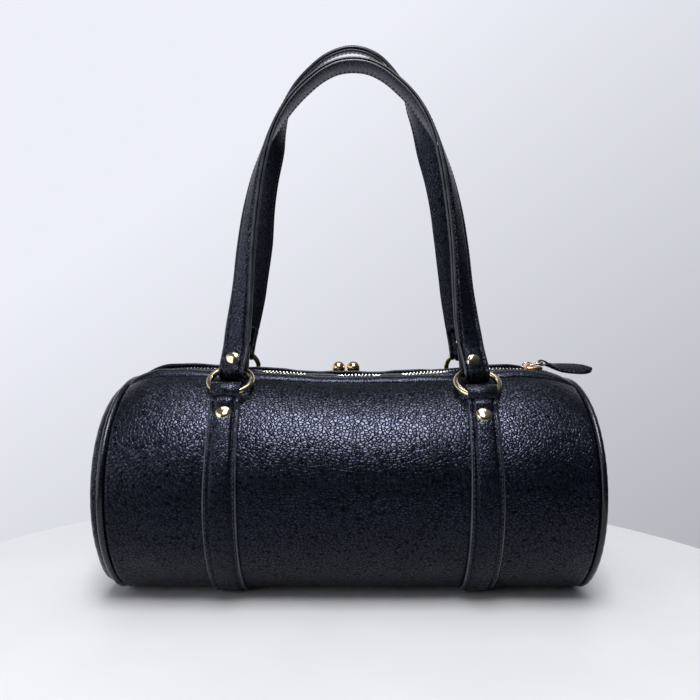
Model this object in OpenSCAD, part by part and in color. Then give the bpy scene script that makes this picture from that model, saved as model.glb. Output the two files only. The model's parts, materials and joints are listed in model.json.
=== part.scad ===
// Small barrel bag: a leather tube with round ends, a zip along the top, two strap handles on
// rings, and a clasp pocket on the back. The tube lies along X, the front faces -Y, and the
// origin is the middle of the flat that the bag rests on.

/* [Body] */
// Length of the leather tube between the end seams
bag_l = 256; // [200:1:300]
// Outer radius of the tube
bag_r = 65; // [60:0.5:80]
// Width of the flat strip that the bag rests on
base_w = 44; // [36:1:52]
// Thickness of the body leather
leather_t = 1.6; // [1.4:0.1:2]
// Thickness of the lining cloth
lining_t = 0.6; // [0.4:0.1:0.8]
// Room between leather and lining, filled by the seams and the backs of the rivets
lining_gap = 0.8; // [0.7:0.1:1]
// Thickness of the stiff board in the bottom
board_t = 1.6; // [1:0.2:2]
// Width of the stiff board
board_w = 38; // [30:1:40]
// How far each end panel swells outwards
end_bulge = 8; // [3:0.5:10]

/* [Piping] */
// Radius of the leather piping round each end
pipe_r = 2; // [1.6:0.1:2.4]
// Radius of the cord inside the piping
pipe_cord_r = 1.1; // [0.8:0.1:1.2]

/* [Zip] */
// Clear width between the two leather facings
zip_gap = 12; // [11.4:0.2:14]
// Width of each leather facing beside the zip
facing_w = 18; // [16:0.5:20]
// Width of each cloth tape from its teeth to its sewn edge
tape_w = 12.5; // [11:0.5:14]
// Thickness of the tape
tape_t = 0.6; // [0.5:0.1:0.7]
// Distance from each end of the tube to the row of teeth
zip_end_gap = 17; // [15:0.5:40]
// Distance from one tooth to the next
teeth_pitch = 3; // [2.4:0.2:4]
// Length of a tooth along the zip
tooth_l = 1.7; // [1.2:0.1:1.9]
// Height of a tooth
tooth_h = 1.8; // [1.6:0.1:2]
// Reach of a tooth across the zip
tooth_w = 3.2; // [2.8:0.1:3.4]
// Gap between the two rows, where the keel of the slider runs
teeth_gap = 1.4; // [1.2:0.1:1.6]
// Length of the slider
slider_l = 10.8; // [9:0.2:12]
// Thickness of each slider plate
slider_plate_t = 1.2; // [1:0.1:1.3]
// Thickness of the keel that joins the slider plates
keel_t = 0.8; // [0.6:0.1:0.9]

/* [Zip pull] */
// Radius of the bail wire
bail_wire_r = 0.65; // [0.5:0.05:0.75]
// Distance between the two bars of the bail
bail_l = 8.5; // [8:0.5:10]
// Half of the outer width of the bail, to the middle of its wire
bail_half_w = 3.4; // [3.2:0.1:4]
// Tilt of the bail above the zip as it lies
bail_tilt = 10; // [8:1:14]
// Length of the leather pull from its bar to its tip
tab_l = 31; // [24:1:40]
// Greatest width of the leather pull
tab_w = 11; // [8:0.5:12]
// Thickness of the leather pull
tab_t = 3; // [2.4:0.1:3.2]

/* [Bands] */
// Distance between the middles of the two bands
band_spacing = 138; // [126:1:146]
// Width of each band
band_w = 16; // [14.5:0.5:16]
// Thickness of the band leather
band_t = 2; // [1.6:0.1:2.2]
// Thickness of the band under the bag, where it lies let into the bottom
band_base_t = 1; // [0.8:0.1:1.1]
// Angle from the top of the tube to the loop at each end of a band
loop_angle = 38; // [36:0.5:42]
// Thickness of the leather round the ring in a band loop
loop_wall = 1.4; // [1.2:0.1:1.5]
// Distance along the band from the loop to the rivet
rivet_reach = 12; // [11.4:0.2:13]

/* [Rings and rivets] */
// Inner radius of each ring
ring_in_r = 10; // [9.6:0.1:11]
// Radius of the ring wire
ring_wire_r = 1.7; // [1.4:0.1:1.8]
// Slope of the front rings as they lie back on the bag
front_ring_angle = 31; // [31:1:40]
// Slope of the rear rings, which stand more upright
rear_ring_angle = 60; // [45:1:70]
// Radius of a rivet cap on a band
band_cap_r = 4.2; // [3.6:0.1:4.4]
// Radius of a rivet cap on a handle
handle_cap_r = 4; // [3.4:0.1:4.1]
// Height of a rivet cap
cap_h = 1.6; // [1.2:0.1:1.8]
// Radius of a rivet shank
shank_r = 1.4; // [1:0.1:1.5]

/* [Handles] */
// Width of a handle strap
strap_w = 15; // [13:0.5:15.5]
// Thickness of the outer leather of a strap
strap_t = 2; // [1.8:0.1:2.2]
// Thickness of the backing leather of a strap
backing_t = 1.4; // [1.2:0.1:1.6]
// Height of the front handle above the line through its rings
front_handle_h = 180; // [140:1:230]
// Height of the rear handle above the line through its rings
rear_handle_h = 186; // [140:1:230]
// Half of the width of the front handle where its arch begins
front_spread = 65; // [60:0.5:70]
// Half of the width of the rear handle where its arch begins
rear_spread = 61; // [58:0.5:70]
// Height of the straight legs of the front handle
front_leg_h = 70; // [50:1:90]
// Height of the straight legs of the rear handle
rear_leg_h = 60; // [50:1:90]
// Lean of each handle towards the middle of the bag
handle_lean = 6.5; // [5:0.1:7]

/* [Clasp pocket] */
// Angle from the top of the tube to the middle of the clasp frame
clasp_angle = 50; // [49:0.5:54]
// Outer width of the pocket pouch
pouch_w = 92; // [70:1:96]
// Room between the two leathers of the pouch
pouch_room = 6; // [5:0.2:7]
// Thickness of the pouch leather
pouch_t = 1; // [0.8:0.1:1.2]
// Angle that the pouch covers below the middle of the frame
pouch_angle = 55; // [40:1:60]
// Width of the metal strip of the frame
frame_bar_w = 4; // [3.4:0.2:4.4]
// Thickness of the metal strip of the frame
frame_bar_t = 3; // [2.6:0.1:3.2]
// Distance from the hinge of the frame to the top of its bar
frame_h = 39; // [34:1:41]
// Radius of a clasp ball
ball_r = 4; // [3.4:0.1:4.2]
// Distance between the middles of the two balls
ball_spacing = 9.3; // [9:0.1:11]

/* [Hidden] */
$fn = 64;

// Colours
leather_c = [0.07, 0.08, 0.12];
leather_edge_c = [0.13, 0.14, 0.19];
gold_c = [0.86, 0.74, 0.5];
rose_gold_c = [0.85, 0.62, 0.48];
cloth_c = [0.16, 0.16, 0.2];
lining_c = [0.35, 0.33, 0.36];
board_c = [0.6, 0.55, 0.45];

// Seats, running clearances and the overrun of cuts
seat = 0.05;
run = 0.25;
over = 1;

// The middle of the tube lies this high above the floor
axis_z = sqrt(bag_r * bag_r - base_w * base_w / 4);
function arc_a(length, radius) = length / radius * 180 / PI;

// Path of the piping round one end: an arc, then points of the straight part along the floor as
// shares of its half length
floor_point_shares = [0.5, 0, -0.5];
hoop_steps = 44;
hoop_r = bag_r - pipe_r / 2;
hoop_floor_a = acos((axis_z - pipe_r) / hoop_r);
hoop_arc_a = 360 - 2 * hoop_floor_a;
hoop_path = concat(
    [for (k = [0 : hoop_steps]) let (a = hoop_floor_a - 180 + hoop_arc_a * k / hoop_steps)
        [hoop_r * sin(a), axis_z + hoop_r * cos(a)]],
    [for (share = floor_point_shares) [hoop_r * sin(hoop_floor_a) * share, pipe_r]]);

// Zip, its half angles seen from the axis of the tube
facing_in_a = asin(zip_gap / 2 / bag_r);
facing_out_a = facing_in_a + arc_a(facing_w, bag_r);
slot_a = facing_out_a + arc_a(seat, bag_r);
tooth_grip = 1;
grip_slack = 0.1;
tape_r = bag_r - leather_t - seat;
tape_in_y = teeth_gap / 2 + tooth_w - tooth_grip;
tape_in_a = asin(tape_in_y / tape_r);
tape_out_a = tape_in_a + arc_a(tape_w, tape_r);
zip_z = axis_z + tape_r - tape_t / 2;
stop_l = 2.4;
stop_gap = 0.3;
teeth_l = bag_l - 2 * zip_end_gap;
zip_shift = 0.5;
slider_park = 1.1;
teeth_start_x = -teeth_l / 2 - zip_shift;
teeth_end_x = teeth_start_x + teeth_l;
slider_x = teeth_end_x - slider_park;
slider_travel = slider_x - slider_l / 2 - teeth_start_x - stop_gap;
channel_end_x = slider_x + slider_l / 2 + stop_gap + stop_l + over;
channel_start_x = teeth_start_x - stop_l - stop_gap;
tape_end_gap = 3.2;
board_end_gap = 6.4;
nose_share = 0.62;
flange_share = 0.6;

// Slider, bail and pull
slider_room = 0.3;
flange_t = 0.7;
slider_half_w = teeth_gap / 2 + tooth_w + slider_room + flange_t;
bridge_l = 3.4;
bridge_w = 3;
bridge_h = 2.9;
bridge_shift = -slider_l / 2 + bridge_l / 2 + bail_wire_r;
bail_slack = 0.1;
bail_bore_r = bail_wire_r + bail_slack;
bail_corner_r = 1.3;
bail_x = slider_x + bridge_shift;
bail_z = zip_z + tooth_h / 2 + slider_room + slider_plate_t + bridge_h / 2;
tab_x = bail_x + bail_l * cos(bail_tilt);
tab_z = bail_z + bail_l * sin(bail_tilt);
tab_neck_w = 2 * (bail_half_w - bail_corner_r) - run;
tab_loop_r = tab_t / 2 + bail_wire_r;
belly_share = 0.6;

// A ring of wire passes through a straight loop of leather of a given width: the bore of the
// loop reaches from the lowest wire in its middle to the highest wire at its sides
ring_mid_r = ring_in_r + ring_wire_r;
function wire_rise(w) = ring_mid_r - sqrt(ring_in_r * ring_in_r - w * w / 4);
function loop_shift(w) = (wire_rise(w) - ring_wire_r) / 2;
function loop_bore(w) = (wire_rise(w) + ring_wire_r) / 2 + run;
band_loop_r = loop_bore(band_w) + loop_wall;
foot_loop_r = loop_bore(strap_w) + loop_wall;
loop_mid_r = bag_r + 2 * seat + band_loop_r;
loop_y = loop_mid_r * sin(loop_angle);
loop_z = axis_z + loop_mid_r * cos(loop_angle);
ring_arm = ring_mid_r - loop_shift(band_w);
foot_arm = ring_mid_r - loop_shift(strap_w);
function foot_y(slope) = loop_y - (ring_arm + foot_arm) * cos(slope);
function foot_z(slope) = loop_z + (ring_arm + foot_arm) * sin(slope);

// Bands and their rivets
rivet_a = loop_angle + arc_a(rivet_reach, bag_r);
tail_a = rivet_a + arc_a(band_cap_r + band_t, bag_r);
band_lap_a = 1;
pinch_a = loop_angle + arc_a(rivet_reach - band_cap_r, bag_r);
cap_seat_t = 2 * band_t - band_cap_r * band_cap_r / bag_r / 2;
back_cap_r = 2.6;
back_cap_t = 0.5;

// Handles
strap_glue_t = 0.1;
strap_all_t = strap_t + backing_t + strap_glue_t;
foot_h = 16;
foot_rivet_h = 7.2;
foot_seat_y = 2.8;
foot_back_cap_r = 3;
foot_back_cap_h = 0.8;
strap_round = 0.5;
twist_from = 10;
twist_to = 150;
leg_steps = 9;
arch_steps = 30;

// Clasp, in a frame whose z is the radius of the tube through the middle of the clasp and
// whose y runs down the back
jaw_gap = 0.2;
eye_r = 3;
arm_t = 1.8;
arm_gap = 0.3;
pin_r = 1.2;
pin_bore_r = pin_r + seat;
pin_head_r = 2;
pin_head_t = 0.8;
stem_r = 1.3;
stem_l = 3.2;
frame_shift = 0.5;
frame_top_y = frame_shift - frame_h / 2;
hinge_y = frame_top_y + frame_h;
jaw_in_z = bag_r + arm_gap;
jaw_split_z = jaw_in_z + frame_bar_t + jaw_gap / 2;
arm_room = 0.5;
inner_arm_x = pouch_w / 2 + arm_room;
outer_arm_x = inner_arm_x + arm_t + arm_gap;
mouth_y = frame_top_y + frame_bar_w + arm_gap;
ball_seat_share = 0.9;
ball_y = frame_top_y - stem_l - ball_r * ball_seat_share;
pouch_in_r = bag_r + arm_gap;
pouch_out_r = pouch_in_r + 2 * pouch_t + pouch_room;

// Outline of the tube seen along X, in by a given thickness, about the middle of the tube
module section(inset) {
    intersection() {
        circle(r = bag_r - inset, $fn = 180);
        translate([-bag_r, inset - axis_z]) square([2 * bag_r, 2 * bag_r + axis_z]);
    }
}

// Wedge that opens to both sides of the top by a half angle
module top_wedge(half_a) {
    reach = 2 * bag_r;
    polygon([[0, 0], [-reach * tan(half_a), reach], [reach * tan(half_a), reach]]);
}

// Stretch a YZ outline about the middle of the tube along X
module along_x(length) {
    translate([0, 0, axis_z]) rotate([90, 0, 90])
        linear_extrude(height = length, center = true) children();
}

// Curved strip about the middle of the tube, its angles counted from the top to the back
module arc_strip(r_in, r_out, from_a, to_a, from_x, to_x) {
    translate([0, 0, axis_z]) rotate([0, -90, 0])
        rotate_extrude(angle = to_a - from_a, start = from_a, $fn = 180)
            translate([r_in, -to_x]) square([r_out - r_in, to_x - from_x]);
}

// Place a piece on the tube, its z along the radius at an angle from the top to the back
module on_tube(angle) {
    translate([0, 0, axis_z]) rotate([-angle, 0, 0]) children();
}

module bar_x(radius, from_x, to_x) {
    translate([from_x, 0, 0]) rotate([0, 90, 0]) cylinder(r = radius, h = to_x - from_x);
}

module bar_y(radius, length) {
    rotate([90, 0, 0]) cylinder(r = radius, h = length, center = true);
}

module both_ends() {
    children();
    mirror([1, 0, 0]) children();
}

module both_sides() {
    children();
    mirror([0, 1, 0]) children();
}

// Body
module body_wrap() {
    color(leather_c) difference() {
        along_x(bag_l) difference() {
            section(0);
            section(leather_t);
            top_wedge(slot_a);
        }
        both_ends() translate([band_spacing / 2 - band_w / 2 - seat, -bag_r, -over])
            cube([band_w + 2 * seat, 2 * bag_r, band_base_t + over]);
        both_ends() both_sides() band_rivet_bore();
    }
}

module end_panel(side) {
    rim_r = bag_r - pipe_r / 2 - pipe_r - 2 * seat;
    dome_r = (rim_r * rim_r + end_bulge * end_bulge) / end_bulge / 2;
    rim_x = bag_l / 2 + seat;
    tip_x = rim_x + leather_t + end_bulge;
    color(leather_c) scale([side, 1, 1]) difference() {
        translate([0, 0, axis_z]) rotate([0, 90, 0]) rotate_extrude($fn = 180) intersection() {
            difference() {
                translate([0, tip_x - dome_r]) circle(r = dome_r);
                translate([0, tip_x - dome_r]) circle(r = dome_r - leather_t);
            }
            translate([0, rim_x]) square([rim_r, tip_x]);
        }
        translate([0, -bag_r, -over]) cube([bag_l, 2 * bag_r, 2 * pipe_r + seat + over]);
    }
}

// Closed hoop that follows the seam at one end, round and then straight along the floor
module end_hoop(radius, sides) {
    count = len(hoop_path);
    points = [for (k = [0 : count - 1]) let (
            d = hoop_path[(k + 1) % count] - hoop_path[(k + count - 1) % count],
            t = d / norm(d))
        for (j = [0 : sides - 1]) let (a = 360 * j / sides)
            [radius * sin(a), hoop_path[k][0] - t[1] * radius * cos(a),
             hoop_path[k][1] + t[0] * radius * cos(a)]];
    faces = [for (k = [0 : count - 1]) for (j = [0 : sides - 1])
        let (m = (k + 1) % count * sides, n = (j + 1) % sides)
        each [[k * sides + j, m + j, m + n], [k * sides + j, m + n, k * sides + n]]];
    polyhedron(points = points, faces = faces, convexity = 6);
}

module piping(side) {
    color(leather_edge_c) translate([side * (bag_l / 2 + pipe_r + seat), 0, 0]) difference() {
        end_hoop(pipe_r, 8);
        end_hoop(pipe_cord_r + 2 * seat, 6);
    }
}

module piping_cord(side) {
    color(cloth_c) translate([side * (bag_l / 2 + pipe_r + seat), 0, 0])
        end_hoop(pipe_cord_r, 6);
}

module lining() {
    outer = leather_t + lining_gap;
    inner = outer + lining_t;
    length = bag_l - 4 * seat;
    floor_in = leather_t + board_t + 3 * seat;
    color(lining_c) difference() {
        along_x(length) intersection() {
            section(outer);
            translate([-bag_r, floor_in - axis_z]) square([2 * bag_r, 3 * bag_r]);
        }
        along_x(length - 2 * lining_t) intersection() {
            section(inner);
            translate([-bag_r, floor_in + lining_t - axis_z]) square([2 * bag_r, 3 * bag_r]);
        }
        along_x(length - 2 * lining_t) top_wedge(tape_out_a - arc_a(tape_w / 4, tape_r));
    }
}

module base_board() {
    color(board_c) translate([0, 0, leather_t + seat + board_t / 2])
        cube([bag_l - 2 * board_end_gap, board_w, board_t], center = true);
}

// Zip
module zip_facing(side) {
    color(leather_edge_c) scale([1, side, 1])
        arc_strip(bag_r - leather_t, bag_r, facing_in_a, facing_out_a, -bag_l / 2, bag_l / 2);
}

module zip_tape(side) {
    end_gap_a = arc_a(seat, tape_r);
    length = bag_l - 2 * tape_end_gap;
    color(cloth_c) scale([1, side, 1]) {
        arc_strip(tape_r - tape_t, tape_r, tape_in_a, tape_out_a, -length / 2, length / 2);
        arc_strip(tape_r - tape_t, tape_r, end_gap_a, tape_in_a, -length / 2, channel_start_x);
        arc_strip(tape_r - tape_t, tape_r, end_gap_a, tape_in_a, channel_end_x, length / 2);
    }
}

module tape_slit(length) {
    translate([-length / 2, tape_in_y - seat, -tape_t / 2 - seat - grip_slack])
        cube([length, tooth_w + over, tape_t + 2 * seat + grip_slack]);
}

module zip_teeth(side) {
    count = floor((teeth_l - tooth_l) / teeth_pitch);
    color(gold_c) scale([1, side, 1]) translate([0, 0, zip_z]) difference() {
        for (k = [0 : count])
            translate([teeth_start_x + k * teeth_pitch, teeth_gap / 2, -tooth_h / 2])
                cube([tooth_l, tooth_w, tooth_h]);
        tape_slit(bag_l);
    }
}

module zip_stops() {
    start_w = teeth_gap / 2 + tooth_w;
    color(gold_c) translate([0, 0, zip_z]) difference() {
        union() {
            translate([teeth_start_x - stop_gap - stop_l, -start_w, -tooth_h / 2])
                cube([stop_l, 2 * start_w, tooth_h]);
            both_sides() translate([slider_x + slider_l / 2 + stop_gap, teeth_gap / 2,
                -tooth_h / 2]) cube([stop_l, tooth_w, tooth_h]);
        }
        both_sides() tape_slit(bag_l);
    }
}

// Plate of the slider with a rounded nose
module slider_plate(half_w) {
    nose_r = slider_l * nose_share;
    intersection() {
        translate([-slider_l / 2, -half_w]) square([slider_l, 2 * half_w]);
        translate([slider_l / 2 - nose_r, 0]) circle(r = nose_r);
        translate([nose_r - slider_l / 2, 0]) circle(r = nose_r);
    }
}

module zip_slider() {
    room_h = tooth_h / 2 + slider_room;
    tape_room = tape_t / 2 + slider_room;
    flange_h = room_h - tape_room - grip_slack;
    flange_l = slider_l * flange_share;
    color(rose_gold_c) translate([slider_x, 0, zip_z]) difference() {
        union() {
            translate([0, 0, room_h]) linear_extrude(height = slider_plate_t)
                slider_plate(slider_half_w);
            translate([0, 0, -room_h - slider_plate_t]) linear_extrude(height = slider_plate_t)
                slider_plate(slider_half_w);
            translate([0, -keel_t / 2, -room_h]) cube([slider_l / 4, keel_t, 2 * room_h]);
            both_sides() translate([-flange_l / 2, slider_half_w - flange_t, room_h - flange_h])
                cube([flange_l, flange_t, flange_h]);
            both_sides() translate([-flange_l / 2, slider_half_w - flange_t, -room_h])
                cube([flange_l, flange_t, flange_h]);
            translate([bridge_shift - bridge_l / 2, -bridge_w / 2, room_h + slider_plate_t])
                cube([bridge_l, bridge_w, bridge_h]);
        }
        translate([bail_x - slider_x, 0, bail_z - zip_z]) bar_y(bail_bore_r, bridge_w + over);
    }
}

// Quarter bend of wire about a corner, from one angle
module wire_bend(bend_r, wire_r, start_a) {
    rotate_extrude(angle = 90, start = start_a) translate([bend_r, 0]) circle(r = wire_r, $fn = 32);
}

module slider_bail() {
    side_l = bail_l - 2 * bail_corner_r;
    bar_l = 2 * (bail_half_w - bail_corner_r);
    color(rose_gold_c) translate([bail_x, 0, bail_z]) rotate([0, -bail_tilt, 0]) {
        bar_y(bail_wire_r, bar_l);
        translate([bail_l, 0, 0]) bar_y(bail_wire_r, bar_l);
        both_sides() {
            translate([0, bail_half_w, 0])
                bar_x(bail_wire_r, bail_corner_r, bail_corner_r + side_l);
            translate([bail_corner_r, bail_half_w - bail_corner_r, 0])
                wire_bend(bail_corner_r, bail_wire_r, 90);
            translate([bail_l - bail_corner_r, bail_half_w - bail_corner_r, 0])
                wire_bend(bail_corner_r, bail_wire_r, 0);
        }
    }
}

module pull_tab() {
    belly_x = tab_l * belly_share;
    tip_r = tab_t / 3;
    color(leather_c) translate([tab_x, 0, tab_z]) difference() {
        union() {
            translate([0, 0, -tab_t / 2]) linear_extrude(height = tab_t) hull() {
                translate([0, -tab_neck_w / 2]) square([tab_neck_w, tab_neck_w]);
                translate([belly_x, 0]) circle(r = tab_w / 2, $fn = 32);
                translate([tab_l - tip_r, 0]) circle(r = tip_r, $fn = 32);
            }
            bar_y(tab_loop_r, tab_neck_w);
        }
        bar_y(bail_bore_r, tab_w);
        difference() {
            translate([0, -tab_w, -tab_t])
                cube([bail_corner_r + 3 * bail_wire_r, 2 * tab_w, 2 * tab_t]);
            translate([-tab_t, -tab_neck_w / 2, -tab_t])
                cube([tab_l, tab_neck_w, 2 * tab_t]);
        }
    }
}

// Bands
module band_rivet_bore() {
    translate([band_spacing / 2, 0, 0]) on_tube(rivet_a)
        cylinder(r = shank_r + seat, h = bag_r + 2 * band_t + cap_h);
}

module band_end() {
    hull() {
        translate([0, loop_y, loop_z]) bar_x(band_loop_r, -band_w / 2, band_w / 2);
        on_tube(pinch_a) translate([0, 0, bag_r + band_t])
            cube([band_w, band_t / 4, 2 * band_t], center = true);
    }
    arc_strip(bag_r, bag_r + 2 * band_t, pinch_a, tail_a, -band_w / 2, band_w / 2);
}

module band(side) {
    color(leather_c) translate([side * band_spacing / 2, 0, 0]) difference() {
        union() {
            both_sides() band_end();
            along_x(band_w) difference() {
                intersection() {
                    circle(r = bag_r + band_t, $fn = 180);
                    translate([-2 * bag_r, -axis_z]) square([4 * bag_r, 3 * bag_r]);
                }
                top_wedge(pinch_a - band_lap_a);
            }
        }
        along_x(band_w + over) intersection() {
            circle(r = bag_r + seat, $fn = 180);
            translate([-2 * bag_r, band_base_t - axis_z]) square([4 * bag_r, 3 * bag_r]);
        }
        both_sides() {
            translate([0, loop_y, loop_z]) bar_x(loop_bore(band_w), -band_w, band_w);
            translate([-band_spacing / 2, 0, 0]) band_rivet_bore();
            on_tube(rivet_a) translate([0, 0, bag_r + cap_seat_t])
                cylinder(r = band_cap_r + seat, h = band_loop_r);
        }
    }
}

// Rivet with a domed cap on top, a shank down to a flat back cap, seated at its own z of zero
module rivet(cap_radius, back_radius, back_t, grip) {
    dome_r = (cap_radius * cap_radius + cap_h * cap_h) / cap_h / 2;
    intersection() {
        translate([0, 0, cap_h - dome_r]) sphere(r = dome_r);
        cylinder(r = cap_radius, h = cap_h + over);
    }
    translate([0, 0, -grip]) cylinder(r = shank_r, h = grip);
    translate([0, 0, -grip - back_t]) cylinder(r = back_radius, h = back_t);
}

module band_rivets() {
    color(gold_c) both_ends() both_sides() translate([band_spacing / 2, 0, 0])
        on_tube(rivet_a) translate([0, 0, bag_r + cap_seat_t])
            rivet(band_cap_r, back_cap_r, back_cap_t, cap_seat_t + leather_t + 2 * seat);
}

// Rings
module ring(side, face, slope) {
    color(gold_c) scale([side, face, 1]) translate([band_spacing / 2, loop_y, loop_z])
        rotate([-slope, 0, 0]) translate([0, -ring_arm, 0])
            rotate_extrude() translate([ring_mid_r, 0]) circle(r = ring_wire_r, $fn = 32);
}

// Handle strap. The path runs in the XZ plane from the left foot over the top to the right one.
function ease(u) = let (v = min(max(u, 0), 1)) v * v * (3 - 2 * v);
function leg_x(h, spread, leg_h) =
    band_spacing / 2 + (spread - band_spacing / 2) * ease(h / leg_h);
function leg_point(side, h, spread, leg_h) = [side * leg_x(h, spread, leg_h), h];
function strap_path(spread, leg_h, rise) = let (
    from_h = foot_h + backing_t,
    steps_h = [for (k = [0 : leg_steps - 1]) from_h + (leg_h - from_h) * k / leg_steps])
    concat(
        [for (k = [0 : leg_steps - 1]) leg_point(-1, steps_h[k], spread, leg_h)],
        [for (k = [0 : arch_steps]) let (a = 180 * k / arch_steps)
            [-spread * cos(a), leg_h + (rise - leg_h) * sin(a)]],
        [for (k = [leg_steps - 1 : -1 : 0]) leg_point(1, steps_h[k], spread, leg_h)]);
function twist_at(h) =
    90 * sin(90 * min(max((h - twist_from) / (twist_to - twist_from), 0), 1));
function strap_frame(path, k) = let (
    last = len(path) - 1,
    d = path[min(k + 1, last)] - path[max(k - 1, 0)],
    t = d / norm(d),
    in_x = t[1],
    in_z = -t[0],
    a = twist_at(path[k][1]))
    [[in_x * cos(a), -sin(a), in_z * cos(a)], [-in_x * sin(a), -cos(a), -in_z * sin(a)]];
function strap_outline(width, thick) = let (w = width / 2, t = thick / 2, c = strap_round)
    [[w - c, -t], [w, c - t], [w, t - c], [w - c, t],
     [c - w, t], [-w, t - c], [-w, c - t], [c - w, -t]];

// Strip of leather along a path, shifted along the normal of its face
module strap_strip(path, width, thick, shift) {
    outline = strap_outline(width, thick);
    sides = len(outline);
    rings = len(path);
    points = [for (k = [0 : rings - 1]) let (f = strap_frame(path, k)) for (p = outline)
        [path[k][0], 0, path[k][1]] + f[0] * p[0] + f[1] * (p[1] + shift)];
    // The diagonals run the same way on both faces, so that two strips lie flat on each other
    walls = [for (k = [0 : rings - 2]) for (j = [0 : sides - 1]) let (
            n = (j + 1) % sides,
            a = k * sides + j,
            b = k * sides + n,
            c = b + sides,
            d = a + sides)
        each outline[j][1] > 0 ? [[a, b, d], [b, c, d]] : [[a, b, c], [a, c, d]]];
    first_cap = [[for (j = [sides - 1 : -1 : 0]) j]];
    last_cap = [[for (j = [0 : sides - 1]) (rings - 1) * sides + j]];
    polyhedron(points = points, faces = concat(walls, first_cap, last_cap), convexity = 8);
}

// Put a handle on its rings, its own origin on the line through the ring tops
module on_rings(face, slope) {
    scale([1, face, 1]) translate([0, foot_y(slope), foot_z(slope)])
        rotate([handle_lean, 0, 0]) mirror([0, 1, 0]) children();
}

module foot_bores(half) {
    both_ends() translate([half, 0, 0]) {
        bar_x(loop_bore(strap_w), -strap_w, strap_w);
        translate([0, 0, foot_rivet_h]) bar_y(shank_r + seat, 2 * strap_w);
        translate([0, -foot_seat_y, foot_rivet_h]) rotate([90, 0, 0])
            cylinder(r = handle_cap_r + seat, h = foot_loop_r);
        translate([0, foot_seat_y, foot_rivet_h]) rotate([-90, 0, 0])
            cylinder(r = foot_back_cap_r + seat, h = foot_loop_r);
    }
}

module handle(face, slope, spread, leg_h, rise) {
    half = band_spacing / 2;
    root_h = foot_h - strap_t;
    path = concat([leg_point(-1, root_h, spread, leg_h)], strap_path(spread, leg_h, rise),
        [leg_point(1, root_h, spread, leg_h)]);
    color(leather_c) on_rings(face, slope) difference() {
        union() {
            strap_strip(path, strap_w, strap_t, (strap_all_t - strap_t) / 2);
            both_ends() translate([half, 0, 0]) hull() {
                bar_x(foot_loop_r, -strap_w / 2, strap_w / 2);
                translate([0, 0, foot_h - strap_t / 2])
                    cube([strap_w, strap_all_t, strap_t], center = true);
            }
        }
        foot_bores(half);
    }
}

module handle_backing(face, slope, spread, leg_h, rise) {
    color(leather_edge_c) on_rings(face, slope)
        strap_strip(strap_path(spread, leg_h, rise), strap_w, backing_t,
            (backing_t - strap_all_t) / 2);
}

module handle_rivets(face, slope) {
    color(gold_c) on_rings(face, slope) both_ends()
        translate([band_spacing / 2, -foot_seat_y, foot_rivet_h]) rotate([90, 0, 0])
            rivet(handle_cap_r, foot_back_cap_r, foot_back_cap_h, 2 * foot_seat_y);
}

// Clasp pocket
module back_pouch() {
    bottom_a = clasp_angle + pouch_angle;
    wall_a = arc_a(pouch_t, bag_r);
    color(leather_c) difference() {
        arc_strip(pouch_in_r, pouch_out_r, 0, bottom_a, -pouch_w / 2, pouch_w / 2);
        arc_strip(pouch_in_r + pouch_t, pouch_out_r - pouch_t, -wall_a, bottom_a - wall_a,
            pouch_t - pouch_w / 2, pouch_w / 2 - pouch_t);
        on_tube(clasp_angle) translate([-bag_l / 2, mouth_y - 2 * bag_r, 0])
            cube([bag_l, 2 * bag_r, 2 * bag_r]);
    }
}

module clasp_jaw(low_z, arm_x) {
    bar_l = 2 * (arm_x + arm_t);
    difference() {
        union() {
            translate([-bar_l / 2, frame_top_y, low_z]) cube([bar_l, frame_bar_w, frame_bar_t]);
            both_ends() {
                translate([arm_x, frame_top_y, low_z])
                    cube([arm_t, hinge_y - frame_top_y, frame_bar_t]);
                translate([0, hinge_y, jaw_split_z]) bar_x(eye_r, arm_x, arm_x + arm_t);
            }
        }
        translate([0, hinge_y, jaw_split_z]) bar_x(pin_bore_r, -bag_l, bag_l);
    }
}

module clasp_fixed_jaw() {
    color(gold_c) on_tube(clasp_angle) clasp_jaw(jaw_in_z, inner_arm_x);
}

module clasp_moving_jaw() {
    color(gold_c) on_tube(clasp_angle)
        clasp_jaw(jaw_split_z + jaw_gap / 2, outer_arm_x);
}

// Ball on a stem that starts on top of a jaw's bar
module clasp_ball(side, bar_z) {
    color(rose_gold_c) on_tube(clasp_angle) translate([side * ball_spacing / 2, 0, bar_z]) {
        translate([0, ball_y, 0]) sphere(r = ball_r);
        translate([0, frame_top_y - seat, 0]) rotate([90, 0, 0])
            cylinder(r = stem_r, h = frame_top_y - seat - ball_y);
    }
}

module clasp_pins() {
    color(gold_c) on_tube(clasp_angle) both_ends() translate([0, hinge_y, jaw_split_z]) {
        bar_x(pin_r, inner_arm_x, outer_arm_x + arm_t + seat);
        bar_x(pin_head_r, outer_arm_x + arm_t + seat, outer_arm_x + arm_t + seat + pin_head_t);
    }
}

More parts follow.
